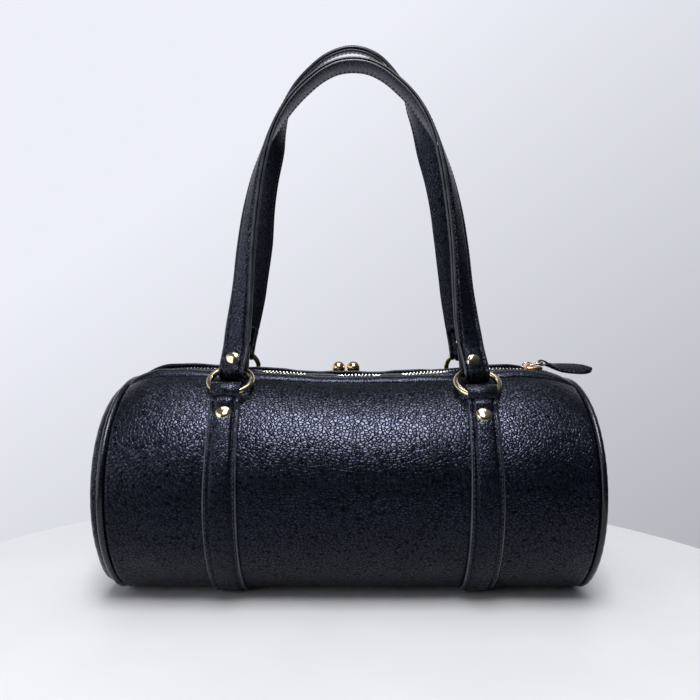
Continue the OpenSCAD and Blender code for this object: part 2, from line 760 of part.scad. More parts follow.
body_wrap();
end_panel(-1);  // left_end_panel
end_panel(1);  // right_end_panel
piping(-1);  // left_piping
piping(1);  // right_piping
piping_cord(-1);  // left_piping_cord
piping_cord(1);  // right_piping_cord
lining();
base_board();
zip_facing(-1);  // front_zip_facing
zip_facing(1);  // rear_zip_facing
zip_tape(-1);  // front_zip_tape
zip_tape(1);  // rear_zip_tape
zip_teeth(-1);  // front_zip_teeth
zip_teeth(1);  // rear_zip_teeth
zip_stops();
zip_slider();
slider_bail();
pull_tab();
band(-1);  // left_band
band(1);  // right_band
band_rivets();
ring(-1, -1, front_ring_angle);  // front_left_ring
ring(1, -1, front_ring_angle);  // front_right_ring
ring(-1, 1, rear_ring_angle);  // rear_left_ring
ring(1, 1, rear_ring_angle);  // rear_right_ring
handle(-1, front_ring_angle, front_spread, front_leg_h, front_handle_h);  // front_handle
handle_backing(-1, front_ring_angle, front_spread, front_leg_h, front_handle_h);  // front_handle_backing
handle_rivets(-1, front_ring_angle);  // front_handle_rivets
handle(1, rear_ring_angle, rear_spread, rear_leg_h, rear_handle_h);  // rear_handle
handle_backing(1, rear_ring_angle, rear_spread, rear_leg_h, rear_handle_h);  // rear_handle_backing
handle_rivets(1, rear_ring_angle);  // rear_handle_rivets
back_pouch();
clasp_fixed_jaw();
clasp_moving_jaw();
clasp_ball(-1, jaw_split_z);  // clasp_fixed_ball
clasp_ball(1, jaw_split_z);  // clasp_moving_ball
clasp_pins();
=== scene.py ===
import json
import math

import bpy
import numpy as np
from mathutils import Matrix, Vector

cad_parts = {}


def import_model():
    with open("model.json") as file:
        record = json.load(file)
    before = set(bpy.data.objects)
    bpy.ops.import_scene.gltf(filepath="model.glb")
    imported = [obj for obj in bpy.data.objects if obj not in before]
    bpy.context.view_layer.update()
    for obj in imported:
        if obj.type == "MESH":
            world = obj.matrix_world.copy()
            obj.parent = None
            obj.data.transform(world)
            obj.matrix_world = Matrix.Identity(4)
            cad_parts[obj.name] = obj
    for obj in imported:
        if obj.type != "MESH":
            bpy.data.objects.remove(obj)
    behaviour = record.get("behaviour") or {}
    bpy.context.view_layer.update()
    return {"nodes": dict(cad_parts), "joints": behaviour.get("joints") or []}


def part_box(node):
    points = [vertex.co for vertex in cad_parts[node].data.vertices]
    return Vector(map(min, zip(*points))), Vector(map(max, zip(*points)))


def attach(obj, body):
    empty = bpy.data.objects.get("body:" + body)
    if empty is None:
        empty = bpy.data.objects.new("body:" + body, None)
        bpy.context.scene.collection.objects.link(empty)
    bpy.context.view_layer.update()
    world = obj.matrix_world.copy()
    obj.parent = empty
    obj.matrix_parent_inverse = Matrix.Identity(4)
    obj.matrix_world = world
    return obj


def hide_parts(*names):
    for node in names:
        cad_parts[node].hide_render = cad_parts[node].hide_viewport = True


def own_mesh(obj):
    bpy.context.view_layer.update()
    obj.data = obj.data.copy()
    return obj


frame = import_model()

MM = 0.001
TAU = 2 * math.pi
ACROSS = np.array([1.0, 0, 0])
scene = bpy.context.scene


# ---------------- places taken from the frame
def node_box(name):
    low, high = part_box(name)
    return np.array(low) / MM, np.array(high) / MM


def joint_place(name):
    for joint in frame["joints"]:
        if joint["name"] == name:
            return np.array(joint["pos_m"]) / MM
    raise ValueError(name)


HALF_L, BAG_R = node_box("body_wrap")[1][:2]
FACING_IN = -node_box("front_zip_facing")[1][1]
SLOT_Y = -node_box("front_zip_facing")[0][1]
FRONT_LOOP = joint_place("front_left_ring_hinge")
FRONT_FOOT = joint_place("front_handle_hinge")
REAR_FOOT = joint_place("rear_handle_hinge")
BAIL = joint_place("bail_hinge")
TAB = joint_place("tab_hinge")
CLASP = joint_place("clasp_hinge")
BAND_X = -FRONT_LOOP[0]
AXIS_Z = node_box("front_zip_facing")[1][2] - math.sqrt(BAG_R ** 2 - FACING_IN ** 2)
SLOT_A = math.asin(SLOT_Y / BAG_R)
FOLD_A = math.asin(FACING_IN / BAG_R)
BAND_W = 16
BAND_THICK = 1.5
# The soft bands, rings and feet of the photographed bag all lie a little to the right
BAND_SHIFT = 0.9
RING_SHIFT = {-1: 1.8, 1: 0.5}
# How far the rear rings, loops and feet lie outside the front ones in the photograph, left and right
REAR_SPREAD = {-1: 6.3, 1: 4.9}
# The front right loop, ring and foot hang a little lower than the left ones
FRONT_DIP = {-1: np.array([0, 0, 0.0]), 1: np.array([0, -0.8, -1.3])}
STRAP_W = 15
STRAP_THICK = 1.6
# From the edge of a band or strap to its row of stitches
BAND_INSET = 1.5
STRAP_INSET = 1.45
LOOP_A = math.radians(38)
RIVET_A = LOOP_A + 12 / BAG_R
RING_MID_R = 11.7
RING_WIRE_R = 1.7
ZIP_Z = AXIS_Z + BAG_R - 1.95


# ---------------- meshes
def make(name, body, part, materials, slots=None, replaces=(), levels=0):
    """Makes a smooth mesh object from points in millimetres and their faces, and lets it ride on a body."""
    points, faces = part
    mesh = bpy.data.meshes.new(name)
    mesh.from_pydata((np.asarray(points, float).reshape(-1, 3) * MM).tolist(), [], faces)
    for material in materials if isinstance(materials, (list, tuple)) else [materials]:
        mesh.materials.append(material)
    if slots is not None:
        mesh.polygons.foreach_set("material_index", slots)
    mesh.polygons.foreach_set("use_smooth", [True] * len(faces))
    mesh.update()
    obj = bpy.data.objects.new(name, mesh)
    scene.collection.objects.link(obj)
    if levels:
        subdivision = obj.modifiers.new("Subdivision", "SUBSURF")
        subdivision.levels = subdivision.render_levels = levels
    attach(obj, body)
    if replaces:
        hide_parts(*replaces)
    return obj


def grid_faces(rows, cols, wrap_rows=False, wrap_cols=False):
    """Faces of a grid of points, counted along its columns first."""
    faces = []
    for i in range(rows if wrap_rows else rows - 1):
        for j in range(cols if wrap_cols else cols - 1):
            a, b = i * cols, (i + 1) % rows * cols
            k = (j + 1) % cols
            faces.append((a + j, a + k, b + k, b + j))
    return faces


def capped(rows, cols, flip=False):
    """Faces of a tube made of rings of points, with both of its ends filled."""
    ends = [tuple(range(cols)), tuple(range((rows - 1) * cols, rows * cols))]
    turned = 1 if flip else 0
    ends[turned] = ends[turned][::-1]
    return grid_faces(rows, cols, False, True) + ends


def join(*parts):
    """One list of points and faces out of several."""
    points, faces, count = [], [], 0
    for part_points, part_faces in parts:
        part_points = np.asarray(part_points, float).reshape(-1, 3)
        points.append(part_points)
        faces += [tuple(k + count for k in face) for face in part_faces]
        count += len(part_points)
    return np.concatenate(points), faces


def unit(v):
    v = np.asarray(v, float)
    return v / np.maximum(np.linalg.norm(v, axis=-1, keepdims=True), 1e-9)


def travelled(path):
    """Distance along a path to each of its points."""
    return np.concatenate([[0], np.cumsum(np.linalg.norm(np.diff(path, axis=0), axis=1))])


def tangents(path, closed=False):
    path = np.asarray(path, float)
    if closed:
        return unit(np.roll(path, -1, 0) - np.roll(path, 1, 0))
    return unit(np.gradient(path, axis=0))


def sweep(path, widths, outline, closed=False, broad=1.0):
    """Sweeps an outline of (across, outwards) points along a path. widths gives the across
    direction at each point, outwards is square to it and to the path, and broad scales the width."""
    path = np.asarray(path, float)
    along = tangents(path, closed)
    across = np.asarray(widths, float) * np.ones_like(path)
    across = unit(across - along * np.sum(across * along, axis=1, keepdims=True))
    outwards = np.cross(across, along)
    outline = np.asarray(outline, float)
    broad = (np.asarray(broad, float) * np.ones(len(path)))[:, None, None]
    points = (path[:, None] + across[:, None] * outline[None, :, :1] * broad
              + outwards[:, None] * outline[None, :, 1:2])
    rows, cols = len(path), len(outline)
    faces = grid_faces(rows, cols, True, True) if closed else capped(rows, cols, True)
    return points.reshape(-1, 3), faces


def circle(radius, sides):
    return [(radius * math.cos(TAU * k / sides), radius * math.sin(TAU * k / sides))
            for k in range(sides)]


def lathe(profile, steps=40):
    """Turns (radius, height) points about Z."""
    turns = [TAU * k / steps for k in range(steps)]
    points = [(r * math.cos(a), r * math.sin(a), z) for r, z in profile for a in turns]
    return np.array(points), capped(len(profile), steps)


def placed(part, origin, x_axis, y_axis, z_axis):
    """Puts points and faces into axes at an origin."""
    points, faces = part
    axes = np.array([x_axis, y_axis, z_axis], float)
    return np.asarray(points) @ axes + np.asarray(origin, float), faces


def box_part(low, high, bevel):
    """A box with bevelled edges."""
    low, high = np.asarray(low, float), np.asarray(high, float)
    outline = []
    for sx, sy in ((1, 1), (-1, 1), (-1, -1), (1, -1)):
        x = high[0] if sx > 0 else low[0]
        y = high[1] if sy > 0 else low[1]
        outline += [(x, y - sy * bevel), (x - sx * bevel, y)][::sx * sy]
    outline = np.array(outline)
    inwards = np.sign((low + high)[:2] / 2 - outline)
    levels = ((low[2], bevel), (low[2] + bevel, 0), (high[2] - bevel, 0), (high[2], bevel))
    rows = [np.column_stack([outline + inset * inwards, np.full(8, z)]) for z, inset in levels]
    return np.concatenate(rows), capped(4, 8)


def smooth_table(x, places, values):
    """Smooth curve through listed values."""
    places, values = np.asarray(places, float), np.asarray(values, float)
    slopes = np.gradient(values, places)
    x = np.clip(np.asarray(x, float), places[0], places[-1])
    k = np.clip(np.searchsorted(places, x) - 1, 0, len(places) - 2)
    step = places[k + 1] - places[k]
    t = (x - places[k]) / step
    return ((2 * t ** 3 - 3 * t ** 2 + 1) * values[k] + (t ** 3 - 2 * t ** 2 + t) * step * slopes[k]
            + (3 * t ** 2 - 2 * t ** 3) * values[k + 1] + (t ** 3 - t ** 2) * step * slopes[k + 1])


def ease(t):
    t = np.clip(t, 0, 1)
    return t * t * (3 - 2 * t)


# ---------------- shape of the leather tube
# Height of the top line above the round tube: it sags between the bands and dips at the ends
TOP_PLACES = (-128, -123, -116, -104, -85, -55, -18, 4, 24, 50, 85, 103, 117, 124, 128)
TOP_VALUES = (-4.6, -1.6, 1.2, 2.2, 2.2, 0.3, -2.0, -2.3, -1.9, -0.8, 1.5, 1.5, -0.8, -3.4, -5.6)
ZIP_PLACES = (-128, -118, -108, -85, -55, -18, 4, 24, 50, 85, 105, 113, 121, 128)
ZIP_VALUES = (-5.4, -0.4, 0.9, 1.3, 0, -2.3, -2.6, -2.1, -0.6, 1.3, 0.9, 0.8, -2, -6.2)
CORNER = 1.8
TUCK_L = 2.4
TUCK_DEPTH = 2.2
BODY_LIFT = 0.45


def section_r(phi):
    flat = (AXIS_Z - BODY_LIFT) / np.maximum(-np.cos(phi), 0.05)
    soft = -CORNER * np.log(np.exp(-BAG_R / CORNER) + np.exp(-np.minimum(flat, 400) / CORNER))
    return np.where(np.cos(phi) < 0, soft, BAG_R)


def top_share(phi):
    return np.cos(np.clip(phi / math.radians(84), -1, 1) * math.pi / 2) ** 2


def fullness(x, phi):
    """Soft swelling between the bands, slack near them, and a few faint dents."""
    side = np.sin(np.abs(phi)) ** 2
    pinch = np.exp(-((np.abs(x) - BAND_X) / 10) ** 2)
    swell = 0.7 * np.cos(np.clip(x / BAND_X, -1, 1) * math.pi / 2) * side
    swell += 0.8 * np.exp(-((np.abs(x) - 101) / 17) ** 2) * side
    dents = 0.35 * np.sin(x / 21 + 2.3 * phi + 0.7) * np.sin(1.7 * phi - x / 47)
    dents += 0.18 * np.sin(x / 8.5 - 3.1 * phi) * np.sin(x / 33 + 1.9 * phi + 2)
    return (swell - 0.5 * pinch * side + dents * (0.35 + side)) * np.where(np.cos(phi) < -0.86, 0, 1)


def shell(x, phi, off=0.0, tuck=True, lift=None, floor=BODY_LIFT):
    """Points on the outer leather at x and an angle from the top, moved outwards by off."""
    x, phi, off = np.broadcast_arrays(np.asarray(x, float), phi, off)
    r = section_r(phi) + off
    inside = ease((HALF_L - np.abs(x)) / 14)
    r = r + fullness(x, phi) * inside
    if tuck:
        t = np.clip((np.abs(x) - HALF_L + TUCK_L) / TUCK_L, 0, 1)
        r = r - TUCK_DEPTH * (1 - np.sqrt(1 - t * t))
    rise = smooth_table(x, TOP_PLACES, TOP_VALUES) if lift is None else lift
    y = r * np.sin(phi)
    z = AXIS_Z + r * np.cos(phi) + rise * top_share(phi)
    return np.stack([x, y, np.maximum(z, floor)], axis=-1)


# ---------------- materials
def node_tree(name):
    material = bpy.data.materials.new(name)
    material.use_nodes = True
    tree = material.node_tree
    return material, tree, tree.nodes["Principled BSDF"]


def feed(tree, node, inputs):
    """Links sockets to a node's inputs, and sets the other values."""
    for key, value in inputs.items():
        if isinstance(value, bpy.types.NodeSocket):
            tree.links.new(value, node.inputs[key])
        else:
            node.inputs[key].default_value = value


def add(tree, kind, inputs=None, **settings):
    node = tree.nodes.new("ShaderNode" + kind)
    for key, value in settings.items():
        setattr(node, key, value)
    feed(tree, node, inputs or {})
    return node


def calc(tree, operation, *values):
    return add(tree, "Math", dict(enumerate(values)), operation=operation).outputs[0]


def vector(tree, operation, *values, output="Vector"):
    return add(tree, "VectorMath", dict(enumerate(values)), operation=operation).outputs[output]


def scaled(tree, value, factor):
    return add(tree, "VectorMath", {0: value, "Scale": factor}, operation="SCALE").outputs["Vector"]


def mapped(tree, value, low, high, first, last):
    """A value between low and high, mapped to one between first and last."""
    return add(tree, "MapRange", {"Value": value, "From Min": low, "From Max": high, "To Min": first,
                                  "To Max": last}).outputs["Result"]


def noise(tree, place, scale, detail, output="Fac"):
    return add(tree, "TexNoise", {"Vector": place, "Scale": scale, "Detail": detail}).outputs[output]


def wave(tree, place, scale, distortion, direction):
    return add(tree, "TexWave", {"Vector": place, "Scale": scale, "Distortion": distortion},
               bands_direction=direction).outputs["Fac"]


def object_place(tree):
    return add(tree, "TexCoord").outputs["Object"]


def bump(tree, height, strength, depth):
    """Normal of a surface with a relief that is so many millimetres deep."""
    node = add(tree, "Bump", {"Height": height, "Strength": strength, "Distance": depth * MM})
    return node.outputs["Normal"]


def ramp(tree, value, stops):
    node = add(tree, "ValToRGB", {"Fac": value})
    elements = node.color_ramp.elements
    while len(elements) < len(stops):
        elements.new(0.5)
    for element, (place, colour) in zip(elements, stops):
        element.position = place
        element.color = (*colour, 1) if len(colour) == 3 else colour
    return node.outputs["Color"]


def grey(v):
    return (v, v, v)


def leather(name, pebble, depth, roughness, coat=0.0):
    """Pebbled leather: rounded cells between fine creases, each tilted a little its own way, with
    finer pores and colour that varies from cell to cell. pebble is the size of a cell and depth its
    height, in millimetres. Colour and reflection are darker in the creases, a painted shade, and the
    reflection is dimmed towards the bottom of the bag, a painted shade on its lower half."""
    material, tree, shader = node_tree(name)
    place = add(tree, "Mapping", {"Vector": object_place(tree), "Scale": (0.82, 1, 1)}).outputs["Vector"]
    scale = 1 / (pebble * MM)
    drift = noise(tree, place, 0.35 * scale, 2.0, "Color")
    push = scaled(tree, vector(tree, "SUBTRACT", drift, (0.5, 0.5, 0.5)), 0.9 * pebble * MM)
    warped = vector(tree, "ADD", place, push)
    edge = add(tree, "TexVoronoi", {"Vector": warped, "Scale": scale}, feature="DISTANCE_TO_EDGE")
    cell = add(tree, "TexVoronoi", {"Vector": warped, "Scale": scale}, feature="F1").outputs
    dome = ramp(tree, edge.outputs["Distance"], [(0, grey(0)), (0.07, grey(0.4)), (0.17, grey(0.74)),
                                                 (0.3, grey(0.94)), (0.5, grey(1))])
    local = vector(tree, "SUBTRACT", warped, cell["Position"])
    way = vector(tree, "SUBTRACT", cell["Color"], (0.5, 0.5, 0.5))
    lean = vector(tree, "DOT_PRODUCT", local, way, output="Value")
    pores = noise(tree, place, 4.5 * scale, 3.0)
    crease = noise(tree, place, 0.12 * scale, 4.0)
    height = calc(tree, "MULTIPLY", dome, 0.8)
    for relief, weight in ((pores, 0.09), (crease, 0.4), (lean, 0.12 / (depth * MM))):
        height = calc(tree, "MULTIPLY_ADD", relief, weight, height)
    worn = ramp(tree, add(tree, "NewGeometry").outputs["Pointiness"], [(0.52, grey(0)), (0.62, grey(1))])
    tint = calc(tree, "MULTIPLY", cell["Color"], 0.35)
    for look, weight in ((noise(tree, place, 55.0, 5.0), 0.9), (worn, 0.25)):
        tint = calc(tree, "MULTIPLY_ADD", look, weight, tint)
    # The reflection is weaker in the creases between the pebbles: painted shade.
    shine_with_painted_crease_shade = ramp(tree, dome, [(0.15, grey(0.1)), (0.75, grey(0.72))])
    # Below 60 mm over the table the reflection falls to a third of its strength above 100 mm: painted shade on the
    # lower half of the bag.
    up = add(tree, "SeparateXYZ", {"Vector": place}).outputs["Z"]
    # The base colour darkens in the creases between the pebbles, down to under half of NAVY_DARK: painted shade in
    # the creases.
    feed(tree, shader, {
        "Normal": bump(tree, height, 1.0, depth),
        "Base Color": ramp(tree, calc(tree, "MULTIPLY", dome, tint),
                           [(0.05, [c * 0.45 for c in NAVY_DARK]), (0.35, NAVY_DARK), (0.95, NAVY_LIGHT)]),
        "Roughness": ramp(tree, tint, [(0.1, grey(roughness + 0.1)), (0.9, grey(roughness - 0.06))]),
        "Specular IOR Level": calc(tree, "MULTIPLY", shine_with_painted_crease_shade, mapped(tree, up, 0.06, 0.1, 0.32, 1)),
        "Specular Tint": (0.64, 0.69, 1, 1), "Coat Weight": coat, "Coat Roughness": 0.25})
    return material


def painted_edge(name, dark, light):
    """Cut edge of a strap under glossy edge paint, with a faint waviness."""
    material, tree, shader = node_tree(name)
    place = object_place(tree)
    waves = noise(tree, place, 420.0, 3.0)
    feed(tree, shader, {"Base Color": ramp(tree, noise(tree, place, 90.0, 4.0), [(0.3, dark), (0.75, light)]),
                        "Roughness": ramp(tree, waves, [(0.3, grey(0.28)), (0.8, grey(0.42))]),
                        "Normal": bump(tree, waves, 0.5, 0.12)})
    return material


def metal(name, dark, light, roughness):
    """Polished plated metal with hairline scratches and faint tarnish."""
    material, tree, shader = node_tree(name)
    place = object_place(tree)
    stretched = add(tree, "Mapping", {"Vector": place, "Scale": (1, 9, 2), "Rotation": (0.3, 0.5, 0.7)})
    hair = noise(tree, stretched.outputs["Vector"], 520.0, 4.0)
    dull = [(0.35, grey(roughness)), (0.8, grey(roughness + 0.14))]
    feed(tree, shader, {
        "Base Color": ramp(tree, noise(tree, place, 160.0, 3.0), [(0.32, dark), (0.6, light)]),
        "Roughness": ramp(tree, hair, dull), "Normal": bump(tree, hair, 0.25, 0.02), "Metallic": 1})
    return material


def cloth(name, dark, light, thread_w):
    """Plain weave from two crossed wave patterns, thread_w being the width of a thread."""
    material, tree, shader = node_tree(name)
    place = object_place(tree)
    scale = 1 / (thread_w * MM) / 20
    warp, weft = (wave(tree, place, scale * 6.3, 0.6, direction) for direction in "XY")
    weave = calc(tree, "MULTIPLY", warp, weft)
    mixed = calc(tree, "MULTIPLY_ADD", noise(tree, place, 900.0, 3.0), 0.35, weave)
    feed(tree, shader, {"Base Color": ramp(tree, mixed, [(0.1, dark), (0.9, light)]),
                        "Normal": bump(tree, mixed, 0.8, 0.1), "Roughness": 0.85, "Sheen Weight": 0.2})
    return material


def thread_material(name, dark, light):
    """Twisted sewing thread."""
    material, tree, shader = node_tree(name)
    twist = wave(tree, object_place(tree), 900.0, 1.5, "DIAGONAL")
    feed(tree, shader, {"Base Color": ramp(tree, twist, [(0.2, dark), (0.8, light)]),
                        "Normal": bump(tree, twist, 0.6, 0.05), "Roughness": 0.6})
    return material


NAVY_DARK = (0.0022, 0.0028, 0.0055)
NAVY_LIGHT = (0.0075, 0.0095, 0.018)
EDGE_DARK = (0.010, 0.011, 0.016)
EDGE_LIGHT = (0.05, 0.056, 0.075)
body_leather = leather("pebbled_leather", 1.6, 0.15, 0.24)
strap_leather = leather("strap_leather", 1.35, 0.13, 0.27)
lip_leather = leather("fine_leather", 0.95, 0.07, 0.3)
piping_leather = leather("piping_leather", 0.9, 0.05, 0.26, coat=0.5)
back_leather = leather("backing_leather", 1.2, 0.15, 0.36)
edge_paint = painted_edge("edge_paint", EDGE_DARK, EDGE_LIGHT)
thread = thread_material("navy_thread", (0.008, 0.009, 0.015), (0.035, 0.04, 0.06))
pale_gold = metal("pale_gold", (0.68, 0.56, 0.31), (0.9, 0.8, 0.56), 0.06)
rose_gold = metal("rose_gold", (0.66, 0.38, 0.22), (0.86, 0.56, 0.36), 0.13)
ball_gold = metal("ball_gold", (0.76, 0.5, 0.25), (0.94, 0.72, 0.43), 0.1)
zip_metal = metal("zip_metal", (0.66, 0.62, 0.54), (0.95, 0.92, 0.85), 0.26)
tape_cloth = cloth("tape_cloth", (0.012, 0.013, 0.02), (0.06, 0.065, 0.09), 0.45)
lining_cloth = cloth("lining_cloth", (0.06, 0.055, 0.06), (0.16, 0.15, 0.16), 0.5)
board_cloth = cloth("board_fibre", (0.12, 0.1, 0.07), (0.3, 0.26, 0.2), 0.8)


# ---------------- stitches
# Pitch, length and radius of most stitches, and one stitch as (share of its length, thickness, lift)
SEAM = (2.6, 1.9, 0.22)
STITCH = ((0, 0.3, -0.7), (0.14, 0.85, 0), (0.5, 1, 0.35), (0.86, 0.85, 0), (1, 0.3, -0.7))


def stitch_row(path, outwards, pitch, length, radius):
    """Separate stitches along a path: little rounded bars, tilted like a lockstitch."""
    path, outwards = np.asarray(path, float), np.asarray(outwards, float) * np.ones((len(path), 3))
    run = travelled(path)
    count = max(int(run[-1] / pitch), 1)
    ring = 5
    parts = []

    def at(place, values):
        return np.array([np.interp(place, run, values[:, c]) for c in range(3)])

    for k in range(count):
        middle = (k + 0.5) * run[-1] / count
        start, end = at(middle - length / 2, path), at(middle + length / 2, path)
        up = unit(at(middle, outwards))
        side = unit(np.cross(unit(end - start), up))
        points = []
        for share, size, lift in STITCH:
            centre = start + (end - start) * share + up * lift * radius + side * (share - 0.5) * radius
            for j in range(ring):
                a = TAU * j / ring
                points.append(centre + (side * math.cos(a) + up * math.sin(a)) * radius * size)
        parts.append((points, capped(len(STITCH), ring)))
    return join(*parts)


def sewn(name, body, rows):
    """One object of all the given rows of stitches."""
    return make(name, body, join(*rows), thread)


# ---------------- body
def body_shell():
    """The leather tube: a lofted shell that sags between its bands, open along the zip."""
    xs = np.concatenate([np.linspace(-HALF_L, -HALF_L + TUCK_L, 7)[:-1],
                         np.linspace(-HALF_L + TUCK_L, HALF_L - TUCK_L, 170),
                         np.linspace(HALF_L - TUCK_L, HALF_L, 7)[1:]])
    roll = ((1.3, -3.6), (0.5, -2.8), (0.3, -1.6), (0.6, -0.65), (1.3, -0.15), (2.6, 0))
    edge = np.array([SLOT_A + (u + 0.2) / BAG_R for u, _ in roll])
    drop = np.array([v for _, v in roll])
    rest = np.linspace(edge[-1], TAU - edge[-1], 190)[1:-1]
    phis = np.concatenate([edge, rest, TAU - edge[::-1]])
    offs = np.concatenate([drop, np.zeros(len(rest)), drop[::-1]])
    phis = np.where(phis > math.pi, phis - TAU, phis)
    ends = np.zeros((len(xs) + 2, 1))
    ends[[0, -1]] = -7
    xs = np.concatenate([[-HALF_L], xs, [HALF_L]])
    points = shell(xs[:, None], phis[None, :], offs[None, :] + ends)
    make("bag_body", "bag", (points, grid_faces(len(xs), len(phis))), body_leather,
         replaces=("body_wrap",))


def inner_lining():
    """Cloth lining just inside the leather, closed at the ends and open along the zip."""
    xs = np.linspace(-HALF_L + 2.5, HALF_L - 2.5, 80)
    phis = np.linspace(SLOT_A + 0.02, TAU - SLOT_A - 0.02, 130)
    phis = np.where(phis > math.pi, phis - TAU, phis)
    points = shell(xs[:, None], phis[None, :], -2.6, floor=4.4)
    parts = [(points.reshape(-1, 3), grid_faces(len(xs), len(phis)))]
    for end in (0, -1):
        middle = np.array([xs[end], 0, AXIS_Z])
        rows = [middle + (points[end] - middle) * share for share in (1, 0.75, 0.5, 0.25, 0.02)]
        faces = grid_faces(len(rows), len(phis))
        parts.append((np.concatenate(rows), faces if end else [face[::-1] for face in faces]))
    make("inner_lining", "bag", join(*parts), lining_cloth, replaces=("lining",))


def end_circle(x, off, steps=180):
    phis = np.linspace(-math.pi, math.pi, steps, endpoint=False)
    side = math.copysign(HALF_L, x)
    rise = smooth_table(side, TOP_PLACES, TOP_VALUES)
    points = shell(side, phis, off, tuck=False, lift=rise)
    points[:, 0] = x
    return points, phis


def end_panel(side, name, swell, low_bulge):
    """Puffed leather disc with a full shoulder and small puckers where it is sewn in."""
    profile = ((1, -0.4), (1.008, 1.6), (1.018, 3.6), (1.012, 5.8), (0.99, 7.6), (0.955, 8.8), (0.9, 9.5),
               (0.8, 9.9), (0.62, 10.2), (0.4, 10.4), (0.18, 10.5), (0.02, 10.5))
    rim, phis = end_circle(side * HALF_L, -4.4)
    middle = np.array([side * HALF_L, 0, AXIS_Z - 2])
    rows = []
    for share, out in profile:
        pucker = 0.09 * np.sin(46 * phis + 2 * np.sin(3 * phis)) * math.exp(-((1.01 - share) / 0.07) ** 2)
        dent = (1.1 * np.sin(2 * phis + 0.8) + np.sin(5 * phis + share * 6)) * share * (1 - share)
        row = middle + (rim - middle) * share
        sag = low_bulge * ease((-np.cos(phis) - 0.5) / 0.5) * ease(out / 5) * share ** 3
        row[:, 0] = side * (HALF_L + 0.6 + out * swell + pucker + dent + sag)
        row[:, 2] = np.maximum(row[:, 2], 0.8)
        rows.append(row)
    count = len(phis)
    faces = grid_faces(len(rows), count, False, True)
    faces.append(tuple(range((len(rows) - 1) * count, len(rows) * count)))
    make(name + "_end", "bag", (np.concatenate(rows), faces), body_leather, replaces=(name + "_end_panel",),
         levels=1)


def piping(side, name):
    """Leather rolled round a cord, sewn into the end seam."""
    path, phis = end_circle(side * (HALF_L + 2.1), -2)
    path[:, 2] = np.maximum(path[:, 2], 2.05)
    radius = 1.95 + 0.06 * np.sin(60 * phis + 3 * np.sin(4 * phis))
    outwards = np.cross(ACROSS, tangents(path, True))
    points = np.array([path + radius[:, None] * (ACROSS * a + outwards * b) for a, b in circle(1, 14)])
    part = points.transpose(1, 0, 2), grid_faces(len(path), len(points), True, True)
    make(name + "_piping_roll", "bag", part, piping_leather,
         replaces=(name + "_piping", name + "_piping_cord"))


# ---------------- zip
# Stretches of the zip, as (middle, half length), where the front lip lies low and the teeth show
LOW_LIP = ((-100.5, 15), (-40, 8.2), (4.5, 8.1), (43, 8.1), (94.5, 10.5))
LIP_REST = 0.3
LIP_DROP = 2.7


def lip_low(x):
    """1 where the front lip lies low, 0 where it covers the teeth, and smooth between."""
    return np.clip(sum(ease((1.9 - np.abs(x - middle) / half) * 0.95) for middle, half in LOW_LIP), 0, 1)


def lip_droop(x):
    return LIP_REST + LIP_DROP * lip_low(x)


def zip_lift(x):
    return smooth_table(x, ZIP_PLACES, ZIP_VALUES)


# Depth to which the strips beside the zip are pressed down under the left and the right feet
FOOT_PRESS = (1.3, 1.7)


def foot_press(x):
    return np.where(x < 0, *FOOT_PRESS) * np.exp(-((np.abs(x) - BAND_X) / 13) ** 2)


# From the fold at the teeth down the bag, as (distance, height over the round tube)
FACING_PROFILE = ((0.7, -2), (0.1, -1.4), (0, -0.7), (0.35, -0.15), (1.1, 0), (3, 0.02), (6.2, -0.05),
                  (7.4, -0.3), (7.9, -1.2), (8.5, -1.25), (9, -0.35), (9.8, 0.3), (11.5, 0.75), (13.4, 0.8),
                  (15.2, 0.45), (16.5, -0.35), (17.2, -1.5), (17.4, -3))


def inner_drop(x, side, place):
    """How far a lip hangs below the tube, at x and at a distance from its folded edge. The rear lip
    stands up a little instead, behind the teeth."""
    droop = lip_droop(x) if side < 0 else -0.25 * lip_droop(x + 9)
    return ease(1 - place / 8) * droop


def facing(side, name):
    """Leather beside the zip: a flat lip folded at the teeth, a sewn groove and a fuller strip."""
    xs = np.linspace(-HALF_L + 0.5, HALF_L - 0.5, 210)
    ripple = 0.12 * np.sin(xs / 3.1 + 2 * np.sin(xs / 17)) + 0.25 * np.sin(xs / 11 + side)

    def bend(place, x, wave_here, press):
        return (wave_here * ease(1 - np.abs(place - 12) / 6) - inner_drop(x, side, place)
                - press * ease((place - 5) / 5))

    places, heights = np.array(FACING_PROFILE).T
    offs = heights + bend(places, xs[:, None], ripple[:, None], foot_press(xs)[:, None])
    points = shell(xs[:, None], side * (FOLD_A + places / BAG_R), offs)
    make(name + "_zip_lip", "bag", (points, grid_faces(len(xs), len(places))), lip_leather,
         replaces=(name + "_zip_facing",))
    rows = []
    for place in (6.9, 15.2):
        phi = side * (FOLD_A + place / BAG_R)
        sink = np.interp(place, places, heights) + 0.12
        path = shell(xs, phi, sink + bend(place, xs, ripple, foot_press(xs)))[6:-6]
        rows.append(stitch_row(path, (0, math.sin(phi), math.cos(phi)), *SEAM))
    sewn(name + "_zip_lip_stitches", "bag", rows)


def zip_tape(side, name):
    """Woven tape that holds a row of teeth. Beyond the teeth the two tapes meet."""
    xs = np.linspace(-HALF_L + 1, HALF_L - 1, 150)
    outline = np.array([(2.1, 0.3), (2.1, -0.3), (9, -0.9), (15, -2), (15, -1.4), (9, -0.3)])
    low, high = node_box(name + "_zip_teeth")
    meet = np.maximum(ease((low[0] - xs) / 2), ease((xs - high[0]) / 2))
    points = np.zeros((len(xs), len(outline), 3))
    points[:, :, 0] = xs[:, None]
    points[:, :, 1] = side * (outline[None, :, 0] - 1.95 * meet[:, None] * (outline[None, :, 0] < 3))
    points[:, :, 2] = ZIP_Z - 0.15 + zip_lift(xs)[:, None] + outline[None, :, 1]
    make(name + "_tape", "bag", (points, grid_faces(len(xs), len(outline), False, True)), tape_cloth,
         replaces=(name + "_zip_tape",))


TOOTH_PITCH = 2.08
REAR_ROW_DROP = 0.4


